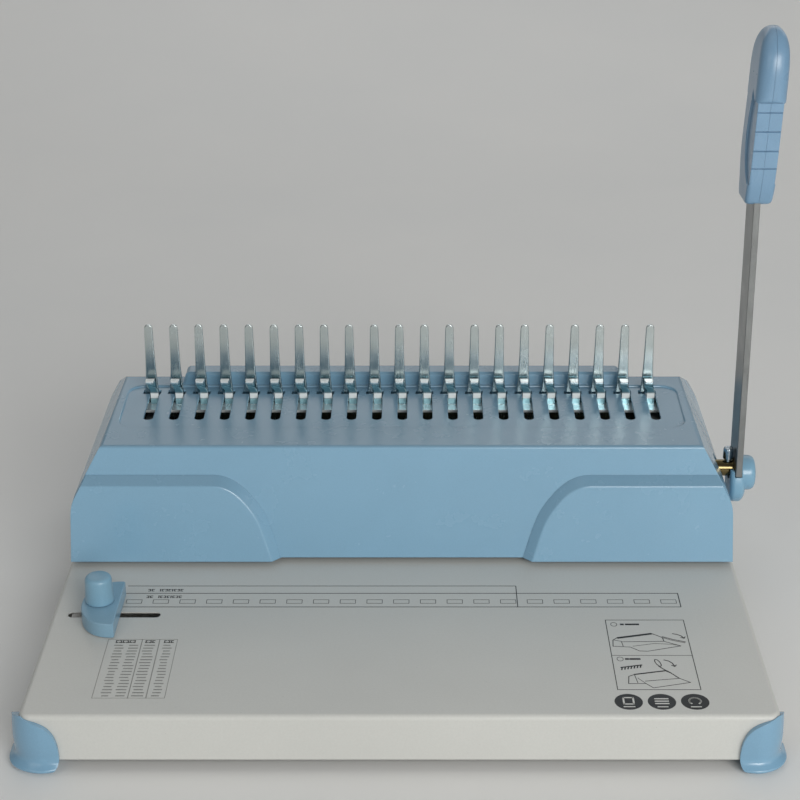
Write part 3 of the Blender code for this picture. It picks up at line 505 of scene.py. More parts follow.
def metal(name, colour, rough=0.25, brush=(1, 1, 14), soft=0.3, blotch=0.08, stain=0.0, stain_rgb=(0.1, 0.1, 0.1, 1),
          amount=0.12, metallic=1.0, painted_top_shade=0.0, low=None, painted_low_shade_rgb=(0.05, 0.10, 0.12, 1), light_shade_bands=()):
    """Plated or bare steel: fine drawn lines, cloudy plating, bright rubbed edges, optional stain, and optional painted
    light and shade: a darker top, a dark teal shade towards the bottom, bands of painted highlight and shade.
    """
    n = Nodes(name)
    round_n = n.soft(soft)
    lines = n.noise(420, 3, 0.6, n.scaled(*[1.0 / max(b, 1e-6) * 3 for b in brush]))
    cloud = n.noise(70, 4, 0.6, distort=0.4)
    k = n.math('MULTIPLY', n.ramp(cloud, 0.3, 0.7, 1 - blotch, 1 + blotch * 0.6), n.ramp(lines, 0.3, 0.7, 0.94, 1.04))
    c = n.mix(1.0, colour, n.shade(k), 'MULTIPLY')
    if stain:
        s = n.ramp(n.noise(110, 5, 0.62, distort=1.0), 0.52, 0.68, 0.0, stain)
        c = n.mix(s, c, stain_rgb)
    # painted shade: faces that look up are darkened towards dark teal
    if painted_top_shade:
        c = n.mix(n.math('MULTIPLY', n.up(), painted_top_shade), c, (0.03, 0.07, 0.09, 1))
    mask = None
    if low or light_shade_bands:
        z = n.t.nodes.new("ShaderNodeSeparateXYZ")
        n.link(n.co, z.inputs[0])
    # painted shade: the lower part of the piece is darkened towards dark teal, fading out upward
    if low:
        c = n.mix(n.ramp(z.outputs["Z"], low[0], low[1], low[2], 0.0), c, painted_low_shade_rgb)
    for z0, z1, painted_tone, flat in light_shade_bands:
        # bands across the sheet by height: white painted highlights, a dark teal painted shade, a pale cyan painted
        # reflection, made less metallic
        m = n.math('MULTIPLY', n.ramp(z.outputs["Z"], z0 - 0.0003, z0 + 0.0003), n.ramp(z.outputs["Z"], z1 - 0.0003, z1 + 0.0003, 1.0, 0.0))
        c = n.mix(m, c, painted_tone)
        m = n.math('MULTIPLY', m, flat)
        mask = m if mask is None else n.math('MAXIMUM', mask, m)
    edge = n.edge(round_n, 0.03, 0.3)
    c = n.mix(n.math('MULTIPLY', edge, 0.5), c, tuple(min(1, x * 1.25 + 0.05) for x in colour[:3]) + (1,))
    r = n.math('ADD', n.ramp(cloud, 0.3, 0.7, rough - 0.06, rough + 0.08), n.ramp(lines, 0.3, 0.7, -0.03, 0.05))
    if mask is not None:
        metallic = n.ramp(mask, 0.0, 1.0, metallic, 0.0)
    n.set(n.b, Base_Color=c, Roughness=r, Metallic=metallic, Normal=n.bump(lines, amount, 0.05, round_n))
    return n.m


BLUE = rgb(128, 166, 192)
M = {
    # cover: the last value, 0.34, is the painted shade on the faces that look up
    "cover": plastic("look_cover_plastic", rgb(128, 169, 195), 0.24, 0.05, 0.45, 0.35, 0.35, 0.02, 0.34),
    "foot": plastic("look_foot_plastic", rgb(122, 163, 190), 0.20, 0.04, 0.5, 0.45, 0.35, 0.03),
    "guide": plastic("look_guide_plastic", rgb(130, 167, 189), 0.32, 0.10, 0.4, 0.15, 0.45),
    "knob": plastic("look_knob_plastic", rgb(124, 165, 188), 0.34, 0.12, 0.4, 0.10, 0.35),
    "grip": plastic("look_grip_plastic", rgb(118, 153, 182), 0.30, 0.07, 0.35, 0.25, 0.45),
    "hub": plastic("look_hub_plastic", rgb(124, 167, 192), 0.28, 0.06, 0.4, 0.25, 0.45),
    "tray": plastic("look_tray_plastic", rgb(58, 62, 66), 0.42, 0.2, 0.4, 0.05, 0.3),
    "bush": plastic("look_bush_plastic", rgb(208, 200, 172), 0.38, 0.1, 0.3, 0.1, 0.2),
    "deck": paint("look_deck_paint", rgb(199, 200, 196)),
    "ink": paint("look_deck_ink", rgb(30, 31, 32), 0.5),
    "ink_grey": paint("look_deck_ink_faint", rgb(152, 153, 149), 0.5),
    "ink_white": paint("look_deck_ink_white", rgb(214, 215, 210), 0.5),
    # nickel tines: a dark teal painted shade on their lower part, fading out upward
    "nickel": metal("look_bright_nickel", (0.60, 0.66, 0.66, 1), 0.21, (1, 1, 12), 0.35, 0.10, 0.12,
                    (0.30, 0.40, 0.45, 1), 0.10, 1.0, 0.0, (0.104, 0.134, 0.55), (0.10, 0.22, 0.27, 1)),
    # opener slide: the cyan tint of its base colour is a painted reflection of the blue cover; its bands are painted
    # highlights (white), painted shade (dark teal) and painted reflection (pale cyan)
    "slide": metal("look_bright_zinc", (0.62, 0.80, 0.86, 1), 0.20, (1, 10, 1), 0.3, 0.10, 0.25,
                   (0.30, 0.58, 0.68, 1), 0.14, 0.8, 0.0, None, (0.05, 0.12, 0.15, 1),
                   ((0.1110, 0.1125, (0.92, 0.96, 0.96, 1), 0.80), (0.1028, 0.1092, (0.10, 0.24, 0.31, 1), 0.5),
                    (0.0990, 0.1022, (0.90, 0.96, 0.97, 1), 0.85), (0.0954, 0.0988, (0.40, 0.70, 0.78, 1), 0.6), (0.0925, 0.0953, (0.90, 0.96, 0.97, 1), 0.75))),
    "zinc": metal("look_frame_zinc", (0.50, 0.51, 0.50, 1), 0.36, (1, 8, 1), 0.3, 0.20, 0.15, (0.25, 0.26, 0.27, 1), 0.15),
    "tool": metal("look_tool_steel", (0.30, 0.31, 0.31, 1), 0.30, (10, 1, 1), 0.25, 0.12, 0.2, (0.10, 0.09, 0.08, 1), 0.2),
    "pin": metal("look_pin_steel", (0.52, 0.53, 0.53, 1), 0.20, (1, 1, 16), 0.2, 0.08, 0.1, (0.2, 0.19, 0.17, 1), 0.15),
    "spring": metal("look_spring_steel", (0.34, 0.34, 0.33, 1), 0.28, (1, 1, 1), 0.1, 0.1, 0.2, (0.12, 0.1, 0.08, 1), 0.1),
    "yellow": metal("look_yellow_zinc", (0.17, 0.135, 0.065, 1), 0.13, (12, 1, 1), 0.2, 0.15, 0.45,
                    (0.09, 0.11, 0.055, 1), 0.12),
    "lever": metal("look_lever_steel", (0.27, 0.28, 0.28, 1), 0.33, (1, 1, 20), 0.4, 0.12, 0.25, (0.22, 0.22, 0.21, 1), 0.22),
    "screw": metal("look_screw_steel", (0.50, 0.58, 0.64, 1), 0.20, (1, 1, 6), 0.2, 0.10, 0.2, (0.16, 0.17, 0.18, 1), 0.1),
}
SLOT = {"screw": "lever_steel", "cover": "cover_plastic", "foot": "foot_plastic", "guide": "guide_plastic", "knob": "guide_plastic",
        "grip": "lever_plastic", "hub": "lever_plastic", "tray": "tray_plastic", "bush": "bush_plastic",
        "deck": "deck_paint", "ink": "deck_paint", "ink_grey": "deck_paint", "ink_white": "deck_paint",
        "nickel": "bright_zinc", "slide": "bright_zinc", "zinc": "zinc_frame", "tool": "tool_steel",
        "pin": "tool_steel", "spring": "spring_steel", "yellow": "yellow_zinc", "lever": "lever_steel"}


def show(ob, look, body, *nodes):
    return piece(ob, M[look], body, SLOT[look], *nodes)


# ---------------------------------------------------------------- base sheet
def rr(x0, y0, x1, y1, r, n=8):
    """Rounded rectangle with a fixed point count."""
    pts = []
    for cx, cy, a in ((x1 - r, y1 - r, 0), (x0 + r, y1 - r, 90), (x0 + r, y0 + r, 180), (x1 - r, y0 + r, 270)):
        for k in range(n + 1):
            w = math.radians(a + 90.0 * k / n)
            pts.append((cx + r * math.cos(w), cy + r * math.sin(w)))
    return pts


def tub(name, x0, y0, x1, y1, top, low, corner, fillet, steps=8):
    """A filled tub: straight sides, rounded upright corners and a rolled top edge."""
    rings = [[(x, y, low) for x, y in rr(x0, y0, x1, y1, corner)]]
    for k in range(steps + 1):
        a = math.pi / 2 * k / steps
        d = fillet * (1 - math.cos(a))
        z = top - fillet * (1 - math.sin(a))
        rings.append([(x, y, z) for x, y in rr(x0 + d, y0 + d, x1 - d, y1 - d, max(corner - d, 0.4))])
    return rings_solid(name, rings)


CORNER = 6.0
SHEET = 1.5
sheet = tub("deck_sheet", -HALF_W, 0, HALF_W, BASE_D, 0.0, -SKIRT, CORNER, 2.6)
cut(sheet, tub("in", -HALF_W + SHEET, SHEET, HALF_W - SHEET, BASE_D - SHEET, -SHEET, -SKIRT - 5, CORNER - SHEET, 1.3))
bm = bmesh.new()
for i in range(TEETH):
    x = tooth_x(i)
    bmesh.ops.create_cube(bm, size=1.0, matrix=Matrix.Translation((x, PUNCH_Y, 0)) @ Matrix.Diagonal((8.6, 3.6, 8, 1)))
cut(sheet, solid("holes", bm))
TRAY_LO, TRAY_HI = mm("chip_tray")
cut(sheet, prism("win", rounded([(TRAY_LO.y - 0.8, -22.8), (TRAY_HI.y + 0.8, -22.8), (TRAY_HI.y + 0.8, -4.6),
                                 (TRAY_LO.y - 0.8, -4.6)], 1.2), -190, -178, 'X'))
rings = []
for r, z in ((3.9, -6.0), (3.9, -1.7), (2.6, -0.35), (2.6, 6.0)):
    rings.append([(-173.2 + r * math.cos(math.radians(a)), GUIDE_Y + r * math.sin(math.radians(a)), z) for a in range(90, 271, 15)]
                 + [(-129.6 + r * math.cos(math.radians(a)), GUIDE_Y + r * math.sin(math.radians(a)), z) for a in range(-90, 91, 15)])
cut(sheet, rings_solid("slot", rings))
finish_mesh(sheet, 40)
show(sheet, "deck", "root", "base_plate")


# ---------------------------------------------------------------- deck prints: thin ink layers
def ink(name, shapes, look, z=0.045):
    """Flat shapes of ink, each a thin closed plate; shapes are outlines in deck coordinates."""
    bm = bmesh.new()
    for pts in shapes:
        if area(pts) < 0:
            pts = list(reversed(pts))
        lo = [bm.verts.new((x, y, -0.02)) for x, y in pts]
        hi = [bm.verts.new((x, y, z)) for x, y in pts]
        bm.faces.new(list(reversed(lo)))
        bm.faces.new(hi)
        for i in range(len(pts)):
            j = (i + 1) % len(pts)
            bm.faces.new((lo[i], lo[j], hi[j], hi[i]))
    ob = solid(name, bm)
    show(ob, look, "root")
    return ob


def stroke(a, b, w=0.35):
    d = Vector((b[0] - a[0], b[1] - a[1]))
    if d.length < 1e-6:
        return [(a[0] - w / 2, a[1] - w / 2), (a[0] + w / 2, a[1] - w / 2), (a[0] + w / 2, a[1] + w / 2),
                (a[0] - w / 2, a[1] + w / 2)]
    d.normalize()
    n = Vector((-d.y, d.x)) * w / 2
    a, b = Vector(a) - d * w * 0.3, Vector(b) + d * w * 0.3
    return [tuple(a + n), tuple(a - n), tuple(b - n), tuple(b + n)]


def path(pts, w=0.35):
    return [stroke(a, b, w) for a, b in zip(pts, pts[1:])]


def frame_lines(x0, y0, x1, y1, w=0.35):
    return path([(x0, y0), (x1, y0), (x1, y1), (x0, y1), (x0, y0)], w)


# paper width marks: three long lines, end ticks, a window for every hole of the comb
marks = path([(-148.3, 125.5), (62.0, 125.5), (62.0, 103.2)], 0.45)
marks += path([(-148.3, 117.6), (148.8, 117.6), (148.8, 103.2), (-148.3, 103.2)], 0.5)
for i in range(TEETH):
    x = tooth_x(i) + 1.8
    marks += frame_lines(x - 4.1, 107.0, x + 4.1, 110.8, 0.3)
ink("print_paper_marks", marks, "ink")
# two short captions, shown only as rows of dashes
words = []
for y in (120.9, 113.9):
    x = -136.8
    for k, w in enumerate((1.3, 1.3, 0.5, 1.1, 1.2, 1.1, 0.5, 1.2, 1.1, 1.2)):
        words.append(stroke((x, y + 0.9), (x + w, y + 0.9), 0.55))
        words.append(stroke((x + 0.1, y - 0.9), (x + w - 0.1, y - 0.9), 0.55))
        words.append(stroke((x + (0.1 if k % 2 else w - 0.2), y - 1.0), (x + (0.1 if k % 2 else w - 0.2), y + 1.0), 0.5))
        x += w + (3.0 if k == 1 else 0.65)
ink("print_paper_captions", words, "ink")

# capacity table: ruled columns, header bars and rows of small dashes
tab = frame_lines(-150.6, 15.8, -115.0, 70.4, 0.3)
for x in (-133.1, -124.1):
    tab += path([(x, 15.8), (x, 70.4)], 0.5)
ink("print_table_lines", tab, "ink_grey")
head, rows = [], []
for x0, n in ((-146.4, 6), (-131.2, 3), (-121.6, 3)):
    for k in range(n):
        x = x0 + 1.75 * k
        head += [stroke((x, 69.1), (x + 1.2, 69.1), 0.6), stroke((x, 67.3), (x + 1.2, 67.3), 0.6),
                 stroke((x + 0.2 + 0.8 * (k % 2), 67.2), (x + 0.2 + 0.8 * (k % 2), 69.2), 0.5)]
ink("print_table_heads", head, "ink")
for k in range(18):
    y = 64.6 - 2.75 * k
    for c, (x0, x1) in enumerate(((-146.6, -142.0), (-139.6, -134.6), (-131.6, -126.0), (-121.6, -117.4))):
        x = x0 + 0.25 * ((k * 7 + c * 3) % 4)
        while x < x1 - 0.6:
            w = 0.7 + 0.3 * ((k * 5 + c * 11 + int(x * 3)) % 3)
            rows.append(stroke((x, y), (min(x + w, x1), y), 0.95))
            x += w + 0.5
ink("print_table_rows", rows, "ink_grey")

# two small line drawings of the machine: lever forward, lever back
draw = frame_lines(107.3, 23.3, 148.3, 89.7, 0.4)
draw += path([(107.3, 54.9), (148.3, 54.9)], 0.3)
draw += path([(109.4, 69.6), (108.9, 63.7)], 0.45)
draw += path([(109.4, 69.7), (112.3, 72.4), (129.7, 76.4), (132.6, 74.2), (135.2, 72.1), (135.5, 68.5)], 0.45)
draw += path([(109.5, 69.8), (113.6, 68.5), (114.1, 63.7)], 0.35)
draw += path([(108.9, 63.7), (117.7, 62.9), (122.0, 59.2), (126.2, 58.9), (143.7, 64.0), (135.5, 68.5), (113.8, 68.0)], 0.4)
draw += path([(119.1, 63.7), (130.4, 66.4), (138.8, 65.6), (143.4, 64.2)], 0.3)
draw += path([(135.1, 73.1), (140.3, 70.4), (146.6, 67.9)], 0.5)
draw += path([(135.3, 72.0), (140.1, 69.4), (146.2, 67.0)], 0.4)
draw += path([(140.8, 76.0), (142.8, 75.4), (144.9, 74.0), (146.2, 71.8)], 0.6)
draw += path([(144.7, 72.2), (146.3, 71.4), (147.0, 73.0)], 0.5)
draw += path([(113.3, 28.8), (114.0, 35.3), (117.1, 37.1), (132.8, 40.5), (135.4, 38.3), (139.1, 33.5)], 0.45)
draw += path([(117.0, 36.8), (117.9, 29.5)], 0.35)
draw += path([(113.3, 28.8), (121.9, 28.8), (125.2, 24.9), (144.1, 29.8), (139.1, 33.5), (121.8, 31.0)], 0.4)
draw += path([(118.4, 33.8), (121.9, 28.8)], 0.3)
draw += path([(135.6, 38.3), (131.6, 42.6), (130.0, 45.0)], 0.6)
lever_ring = [(130.0 + 1.5 * math.cos(math.radians(a)) * 0.8 + 3.4 * math.sin(math.radians(a)) * -0.25,
               47.9 + 3.3 * math.sin(math.radians(a))) for a in range(0, 361, 30)]
draw += path(lever_ring, 0.45)
draw += path([(133.4, 50.6), (135.6, 49.6), (137.2, 47.6), (138.0, 44.9)], 0.6)
draw += path([(136.6, 45.6), (138.1, 44.4), (139.1, 46.0)], 0.5)
draw += path([(139.1, 33.5), (137.4, 35.4), (136.4, 37.4)], 0.4)
ink("print_drawings", draw, "ink")
thick = [stroke((112.2, 71.8), (129.6, 75.9), 1.5), stroke((117.1, 37.1), (132.8, 40.5), 0.9),
         stroke((111.0, 43.6), (121.6, 45.9), 0.8)]
for k in range(7):
    x = 111.6 + 1.6 * k
    thick.append(stroke((x, 43.7 + 0.22 * 1.6 * k), (x - 0.5, 41.4 + 0.22 * 1.6 * k), 0.7))
for y, xs in ((85.3, (115.0, 117.6, 119.2, 121.0, 123.0)), (51.5, (114.2, 116.4, 118.0, 119.8))):
    for k, x in enumerate(xs):
        thick.append(stroke((x, y), (x + 1.1 + 0.3 * (k % 2), y), 1.5))
    thick += path([(111.3 + 1.6 * math.cos(math.radians(a)), y + 1.9 * math.sin(math.radians(a)))
                   for a in range(0, 361, 30)], 0.3)
ink("print_drawing_fills", thick, "ink")

# three round badges with plain marks: a sheet, a stack, a ring of the comb
badges = [circle(x, 12.6, 6.9, 40) for x in (111.6, 127.8, 144.0)]
ink("print_badges", badges, "ink", 0.035)
m = frame_lines(109.2, 10.6, 114.0, 16.2, 0.9)
m += [stroke((109.0, 8.3), (114.2, 8.3), 0.8)]
for k in range(3):
    m.append(stroke((124.6, 11.0 + 2.1 * k), (131.0, 11.0 + 2.1 * k), 0.95))
m += [stroke((125.4, 8.2), (130.2, 8.2), 0.8)]
m += path([(144.0 + 2.9 * math.cos(math.radians(a)), 13.2 + 2.9 * math.sin(math.radians(a))) for a in range(-50, 231, 20)], 0.9)
m += [stroke((141.6, 8.2), (146.4, 8.2), 0.8)]
ink("print_badge_marks", m, "ink_white", 0.06)


# ---------------------------------------------------------------- corner feet
def curve_pts(ctrl, n=8):
    """Smooth curve through control points (Catmull-Rom)."""
    out = []
    m = len(ctrl)
    for i in range(m - 1):
        p0, p1, p2, p3 = ctrl[max(i - 1, 0)], ctrl[i], ctrl[i + 1], ctrl[min(i + 2, m - 1)]
        for k in range(n):
            t = k / n
            out.append(tuple(0.5 * ((2 * p1[a]) + (-p0[a] + p2[a]) * t + (2 * p0[a] - 5 * p1[a] + 4 * p2[a] - p3[a]) * t * t
                                    + (-p0[a] + 3 * p1[a] - 3 * p2[a] + p3[a]) * t ** 3) for a in range(2)))
    out.append(tuple(ctrl[-1]))
    return out


# how far the foot's outer wall stands off the base at each height: thin at the deck, a waist, then a rolled lip
wall = curve_pts([(0.3, 2.2), (-3.0, 2.6), (-8.0, 3.0), (-15.0, 3.2), (-20.0, 2.9), (-23.5, 2.6), (-25.4, 3.1), (-27.0, 4.6),
                  (-28.2, 5.8), (-29.4, 5.4), (-30.4, 3.6), (-31.0, 0.8)], 4)
top_run = curve_pts([(0.0, -0.2), (3.4, -1.6), (9.0, -3.6), (13.2, -6.0), (16.0, -9.3), (17.7, -13.0), (18.7, -17.6),
                     (19.0, -22.0), (18.9, -24.6), (18.2, -27.2), (16.2, -29.4), (13.2, -30.8), (9.0, -31.6)], 5)
for fx, sx in (("left", -1), ("right", 1)):
    for fy, back in (("front", False), ("rear", True)):
        nm = "foot_%s_%s" % (fy, fx)
        LOF, HIF = mm(nm)
        ey, dy = (BASE_D, -1.0) if back else (0.0, 1.0)

        WIDER = 1.9 if sx < 0 else 0.2

        def P(a, b, z):
            """a runs in from the base's side, b in from its front or back edge."""
            return (sx * (HALF_W - a + WIDER * min(max((11.0 - a) / 13.0, 0.0), 1.0)), ey + dy * b, z)

        rings = []
        R = 11.0
        for z, off in reversed(wall):
            pts = []
            for k in range(19):
                w = math.pi / 2 * k / 18
                pts.append((R - (R + off) * math.cos(w), R - (R + off) * math.sin(w)))
            pts = [(-off, 21.6)] + [(-off, 21.6 - (21.6 - R) * k / 4) for k in range(1, 4)] + pts
            # the front wall thins toward the foot's inner end
            pts += [(R + (21.6 - R) * k / 4, -off * (1 - 0.55 * (k / 4) ** 1.5)) for k in range(1, 5)] + [(21.6, 21.6)]
            rings.append([P(a, b, z) for a, b in pts])
        foot = rings_solid(nm + "_cap", rings)
        # the curved upper edge, the same on both faces
        run = [(a, z) for a, z in top_run]
        keep = [(-8.0, 2.0), (-8.0, -32.5)]
        front_out = [(sx * (HALF_W - a), z) for a, z in ([(-8.0, 0.3)] + run + [(-8.0, -32.5)])]
        side_out = [(ey + dy * b, z) for b, z in ([(-8.0, 0.3)] + run + [(-8.0, -32.5)])]
        ya, yb = sorted((ey - dy * 8.0, ey + dy * 40.0))
        xa, xb = sorted((sx * (HALF_W + 8.0), sx * (HALF_W - 40.0)))
        cut(foot, prism("a", front_out, ya, yb, 'Y'), prism("b", side_out, xa, xb, 'X'), op='INTERSECT')
        cut(foot, tub("pocket", -HALF_W - 0.15, -0.15, HALF_W + 0.15, BASE_D + 0.15, 6.0, -SKIRT - 0.15, CORNER, 2.0, 3))
        finish_mesh(foot, 38, 0.45, 3)
        show(foot, "foot", "root", nm)


# ---------------------------------------------------------------- cover
SLOPE = 0.545                     # inward lean of the upper sides
DRAFT = 0.042                     # slight lean of the lower sides
KINK = 36.0                       # height where the sides start to lean in
RUN = 8.0 / 64.6                  # lean of the front face
CW = HALF_W - 1.0


def hull(name, off):
    """The cover's convex body, off millimetres inside its outer face."""
    t = off
    y0 = 152.0 - 2.7 * RUN + t * 1.008
    drop = 6.0 if t else 0.0
    rear = [(290.0 - t, 50.0 - t)] if t else [(286.4, 51.83), (287.55, 51.12), (288.55, 50.1), (289.35, 48.85), (289.9, 47.45),
                                              (290.15, 46.0)]
    prof = [(y0 - drop * RUN, 0.3 - drop), (160.0 + t, 67.6 - t), (246.6 - t * 0.3, 72.0 - t)] + rear + [
        (292.0 - t * 1.01, 0.3 - drop)]
    bm = bmesh.new()
    half = CW - t
    f = bm.faces.new([bm.verts.new((-half, y, z)) for y, z in prof])
    ext = bmesh.ops.extrude_face_region(bm, geom=[f])
    bmesh.ops.translate(bm, vec=(2 * half, 0, 0), verts=[v for v in ext["geom"] if isinstance(v, bmesh.types.BMVert)])
    for lean, z in ((DRAFT, 0.0), (SLOPE, KINK)):
        k = math.sqrt(1 + lean ** 2)
        for s in (-1, 1):
            r = bmesh.ops.bisect_plane(bm, geom=bm.verts[:] + bm.edges[:] + bm.faces[:],
                                       plane_co=Vector((s * (CW - DRAFT * z - t * k), 0, z)),
                                       plane_no=Vector((s, 0, lean)).normalized(), clear_outer=True)
            bmesh.ops.contextual_create(bm, geom=[e for e in r["geom_cut"] if isinstance(e, bmesh.types.BMEdge)])
    bmesh.ops.recalc_face_normals(bm, faces=bm.faces)
    if not off:
        def pick(test):
            return [e for e in bm.edges if e.is_valid and e.calc_face_angle(0) > math.radians(12) and test(e)]
        kinks = pick(lambda e: abs(e.verts[0].co.z - KINK) < 0.5 and abs(e.verts[1].co.z - KINK) < 0.5)
        bmesh.ops.bevel(bm, geom=kinks, offset=5.5, offset_type='OFFSET', segments=5, profile=0.5, affect='EDGES')
        high = pick(lambda e: e.verts[0].co.z + e.verts[1].co.z > 126)
        bmesh.ops.bevel(bm, geom=high, offset=1.7, offset_type='OFFSET', segments=5, profile=0.5, affect='EDGES')
    volume_out(bm)
    return solid(name, bm)


def side_x(z):
    return CW - (DRAFT * z if z <= KINK else DRAFT * KINK + SLOPE * (z - KINK))


WING = curve_pts([(106.0, 51.2), (103.0, 51.2), (97.5, 50.4), (91.5, 47.7), (86.3, 43.6), (81.8, 38.4), (78.2, 33.4), (75.1, 27.8),
                  (72.2, 20.0), (69.6, 11.5), (66.8, 1.5), (65.0, -5.0)], 5)


def wing_line(d):
    """The pad's edge, d millimetres inside its outer line, ending at the cover's lower edge."""
    out = []
    for i, p in enumerate(WING):
        q0, q1 = Vector(WING[max(i - 1, 0)]), Vector(WING[min(i + 1, len(WING) - 1)])
        v = (q1 - q0).normalized()
        out.append((p[0] - v.y * d, p[1] + v.x * d))
    for i, (a, b) in enumerate(zip(out, out[1:])):
        if b[1] < 1.5:
            t = (a[1] - 1.5) / (a[1] - b[1])
            out[i + 1] = (a[0] + (b[0] - a[0]) * t, 1.5)
            drop = len(out) - (i + 2)
            for j in range(i + 2, len(out)):
                out[j] = (out[i + 1][0], 1.5)
            break
    # the same number of points at every depth
    keep, total, acc = [], 0.0, [0.0]
    for a, b in zip(out, out[1:]):
        total += math.hypot(b[0] - a[0], b[1] - a[1])
        acc.append(total)
    j = 0
    for k in range(41):
        want = total * k / 40.0
        while j < len(acc) - 2 and acc[j + 1] < want:
            j += 1
        t = (want - acc[j]) / max(acc[j + 1] - acc[j], 1e-9)
        keep.append((out[j][0] + (out[j + 1][0] - out[j][0]) * min(t, 1.0), out[j][1] + (out[j + 1][1] - out[j][1]) * min(t, 1.0)))
    return keep


cover = hull("cover_shell", 0.0)
for sx in (-1, 1):
    # pad outline from the face out: foot of the chamfer, its rounded top, then the flat pad
    rings = []
    for d, y in ((0.0, 153.6), (0.0, 151.7), (4.0, 147.5), (4.5, 147.12), (5.2, 147.0)):
        edge = wing_line(d)
        top = edge[0][1]
        loop = [(side_x(0) - 0.3, 1.5), (side_x(30.4) - 0.25, 30.4), (side_x(33.2) - 0.4, 33.2), (side_x(36.0) - 0.85, 36.0),
                (side_x(38.4) - 0.45, 38.4), (side_x(40.8) - 0.3, 40.8), (side_x(top) - 0.4, top)] + edge
        rings.append([(sx * x, y + (z - 3.0) * RUN, z) for x, z in loop])
    cut(cover, rings_solid("wing", rings), op='UNION')

ridge = prism("ridge", rounded([(-129.5, 66), (129.5, 66), (125.5, 79), (-125.5, 79)], [0, 0, 3.2, 3.2], 6), 235.2, 247,
              'Y', None, 1.4, 1.4)
cut(cover, ridge, op='UNION')
cut(cover, hull("inside", 2.5))
tilt_top = (Matrix.Translation((0, 160, 67.6)) @ Matrix.Rotation(math.atan2(4.4, 86.6), 4, 'X')
            @ Matrix.Translation((0, -160, -67.6)))
panel = rounded([(-158, 182.5), (158, 182.5), (158, 234.0), (-158, 234.0)], 9.0, 8)
rings = []
for g, z in ((0.0, 66.6), (0.12, 67.0), (0.35, 67.35), (0.8, 67.6), (0.9, 72.0)):
    rings.append([(x, y, z) for x, y in (shrink(panel, -g) if g else panel)])
cut(cover, rings_solid("sunk", rings, tilt_top))

# slots for the hooks and notches for the tines, their rims eased
bm = bmesh.new()
for i in range(TEETH):
    t = tooth_x(i)
    x = t + 1.8
    line = [(x + 2.7, 195.9)] + [(x + 2.7 * math.cos(math.radians(a)), 195.9 - 2.7 * math.sin(math.radians(a)))
                                 for a in range(20, 161, 20)] + [(x - 2.7, 195.9)]
    line = [(t + 5.0, 225.6), (x + 2.7, 225.6)] + line + [(x - 2.7, 225.6), (t - 5.0, 225.6), (t - 5.0, 230.2),
                                                         (t + 5.0, 230.2)]
    line = list(reversed(line)) if area(line) < 0 else line
    rows = []
    for g, z in ((0.0, 50.0), (0.0, 66.35), (0.18, 66.7), (0.6, 66.95), (0.6, 74.0)):
        rows.append([bm.verts.new((px, py, z)) for px, py in (shrink(line, -g) if g else line)])
    for a, b in zip(rows, rows[1:]):
        for k in range(len(line)):
            j = (k + 1) % len(line)
            bm.faces.new((a[k], a[j], b[j], b[k]))
    bm.faces.new(list(reversed(rows[0])))
    bm.faces.new(rows[-1])
volume_out(bm)
cut(cover, solid("slots", bm, tilt_top))
cut(cover, box("throat", (-200, 130, -3), (200, 158, 3.0)),
    prism("shaft_hole", circle(AXIS_Y, AXIS_Z, 8.0, 40), 160, 196, 'X'))
finish_mesh(cover, 28, 0.35, 2, True, 50)
show(cover, "cover", "root", "top_cover")


# ---------------------------------------------------------------- tines
TINE_LO, TINE_HI = mm("tine_plate")
top_line = []
for i in range(TEETH):
    x = tooth_x(i)
    half = [(4.6, 66.0), (4.1, 69.0), (3.75, 73.0), (3.4, 77.5), (3.0, 83.0), (2.7, 92.0), (2.5, 102.0), (2.38, 108.6)]
    tip = [(2.38 * math.cos(math.radians(a)), 109.5 + 2.5 * math.sin(math.radians(a))) for a in range(15, 90, 15)]
    left = [(x - a, z) for a, z in half] + [(x - a, z) for a, z in tip] + [(x, 112.0)]
    right = [(x + a, z) for a, z in reversed(tip)] + [(x + a, z) for a, z in reversed(half)]
    top_line += left + right
outline = [(-153.0, 50.0), (-153.0, 66.0)] + top_line + [(150.0, 66.0), (150.0, 50.0)]
outline = list(reversed(outline))
tines = prism("tines", outline, TINE_LO.y, TINE_HI.y, 'Y')
finish_mesh(tines, 40, 0.55, 4, True, 50)
show(tines, "nickel", "root", "tine_plate")

# ---------------------------------------------------------------- opener slide: bent sheet with a hook beside each tine
DX = 1.8
ears = rounded([(-158.8, 186), (-150, 186), (-150, 215.3), (150, 215.3), (150, 186), (158.8, 186), (158.8, 226), (-158.8, 226)],
               [2.0, 2.0, 1.0, 1.0, 2.0, 2.0, 1.5, 1.5], 4)
slide = prism("slide", ears, 62.7, 64.2, 'Z')
for sx in (-1, 1):
    leg = rounded([(179.5, 7.5), (185.5, 7.5), (185.5, 45.8), (222, 45.8), (222, 63.6), (196, 63.6), (179.5, 36)],
                  [2.5, 2.5, 3.0, 2.0, 0.0, 0.0, 3.0], 5)
    xa, xb = sorted((sx * 156.8, sx * 158.8))
    cut(slide, prism("leg", leg, xa, xb, 'X'), op='UNION')


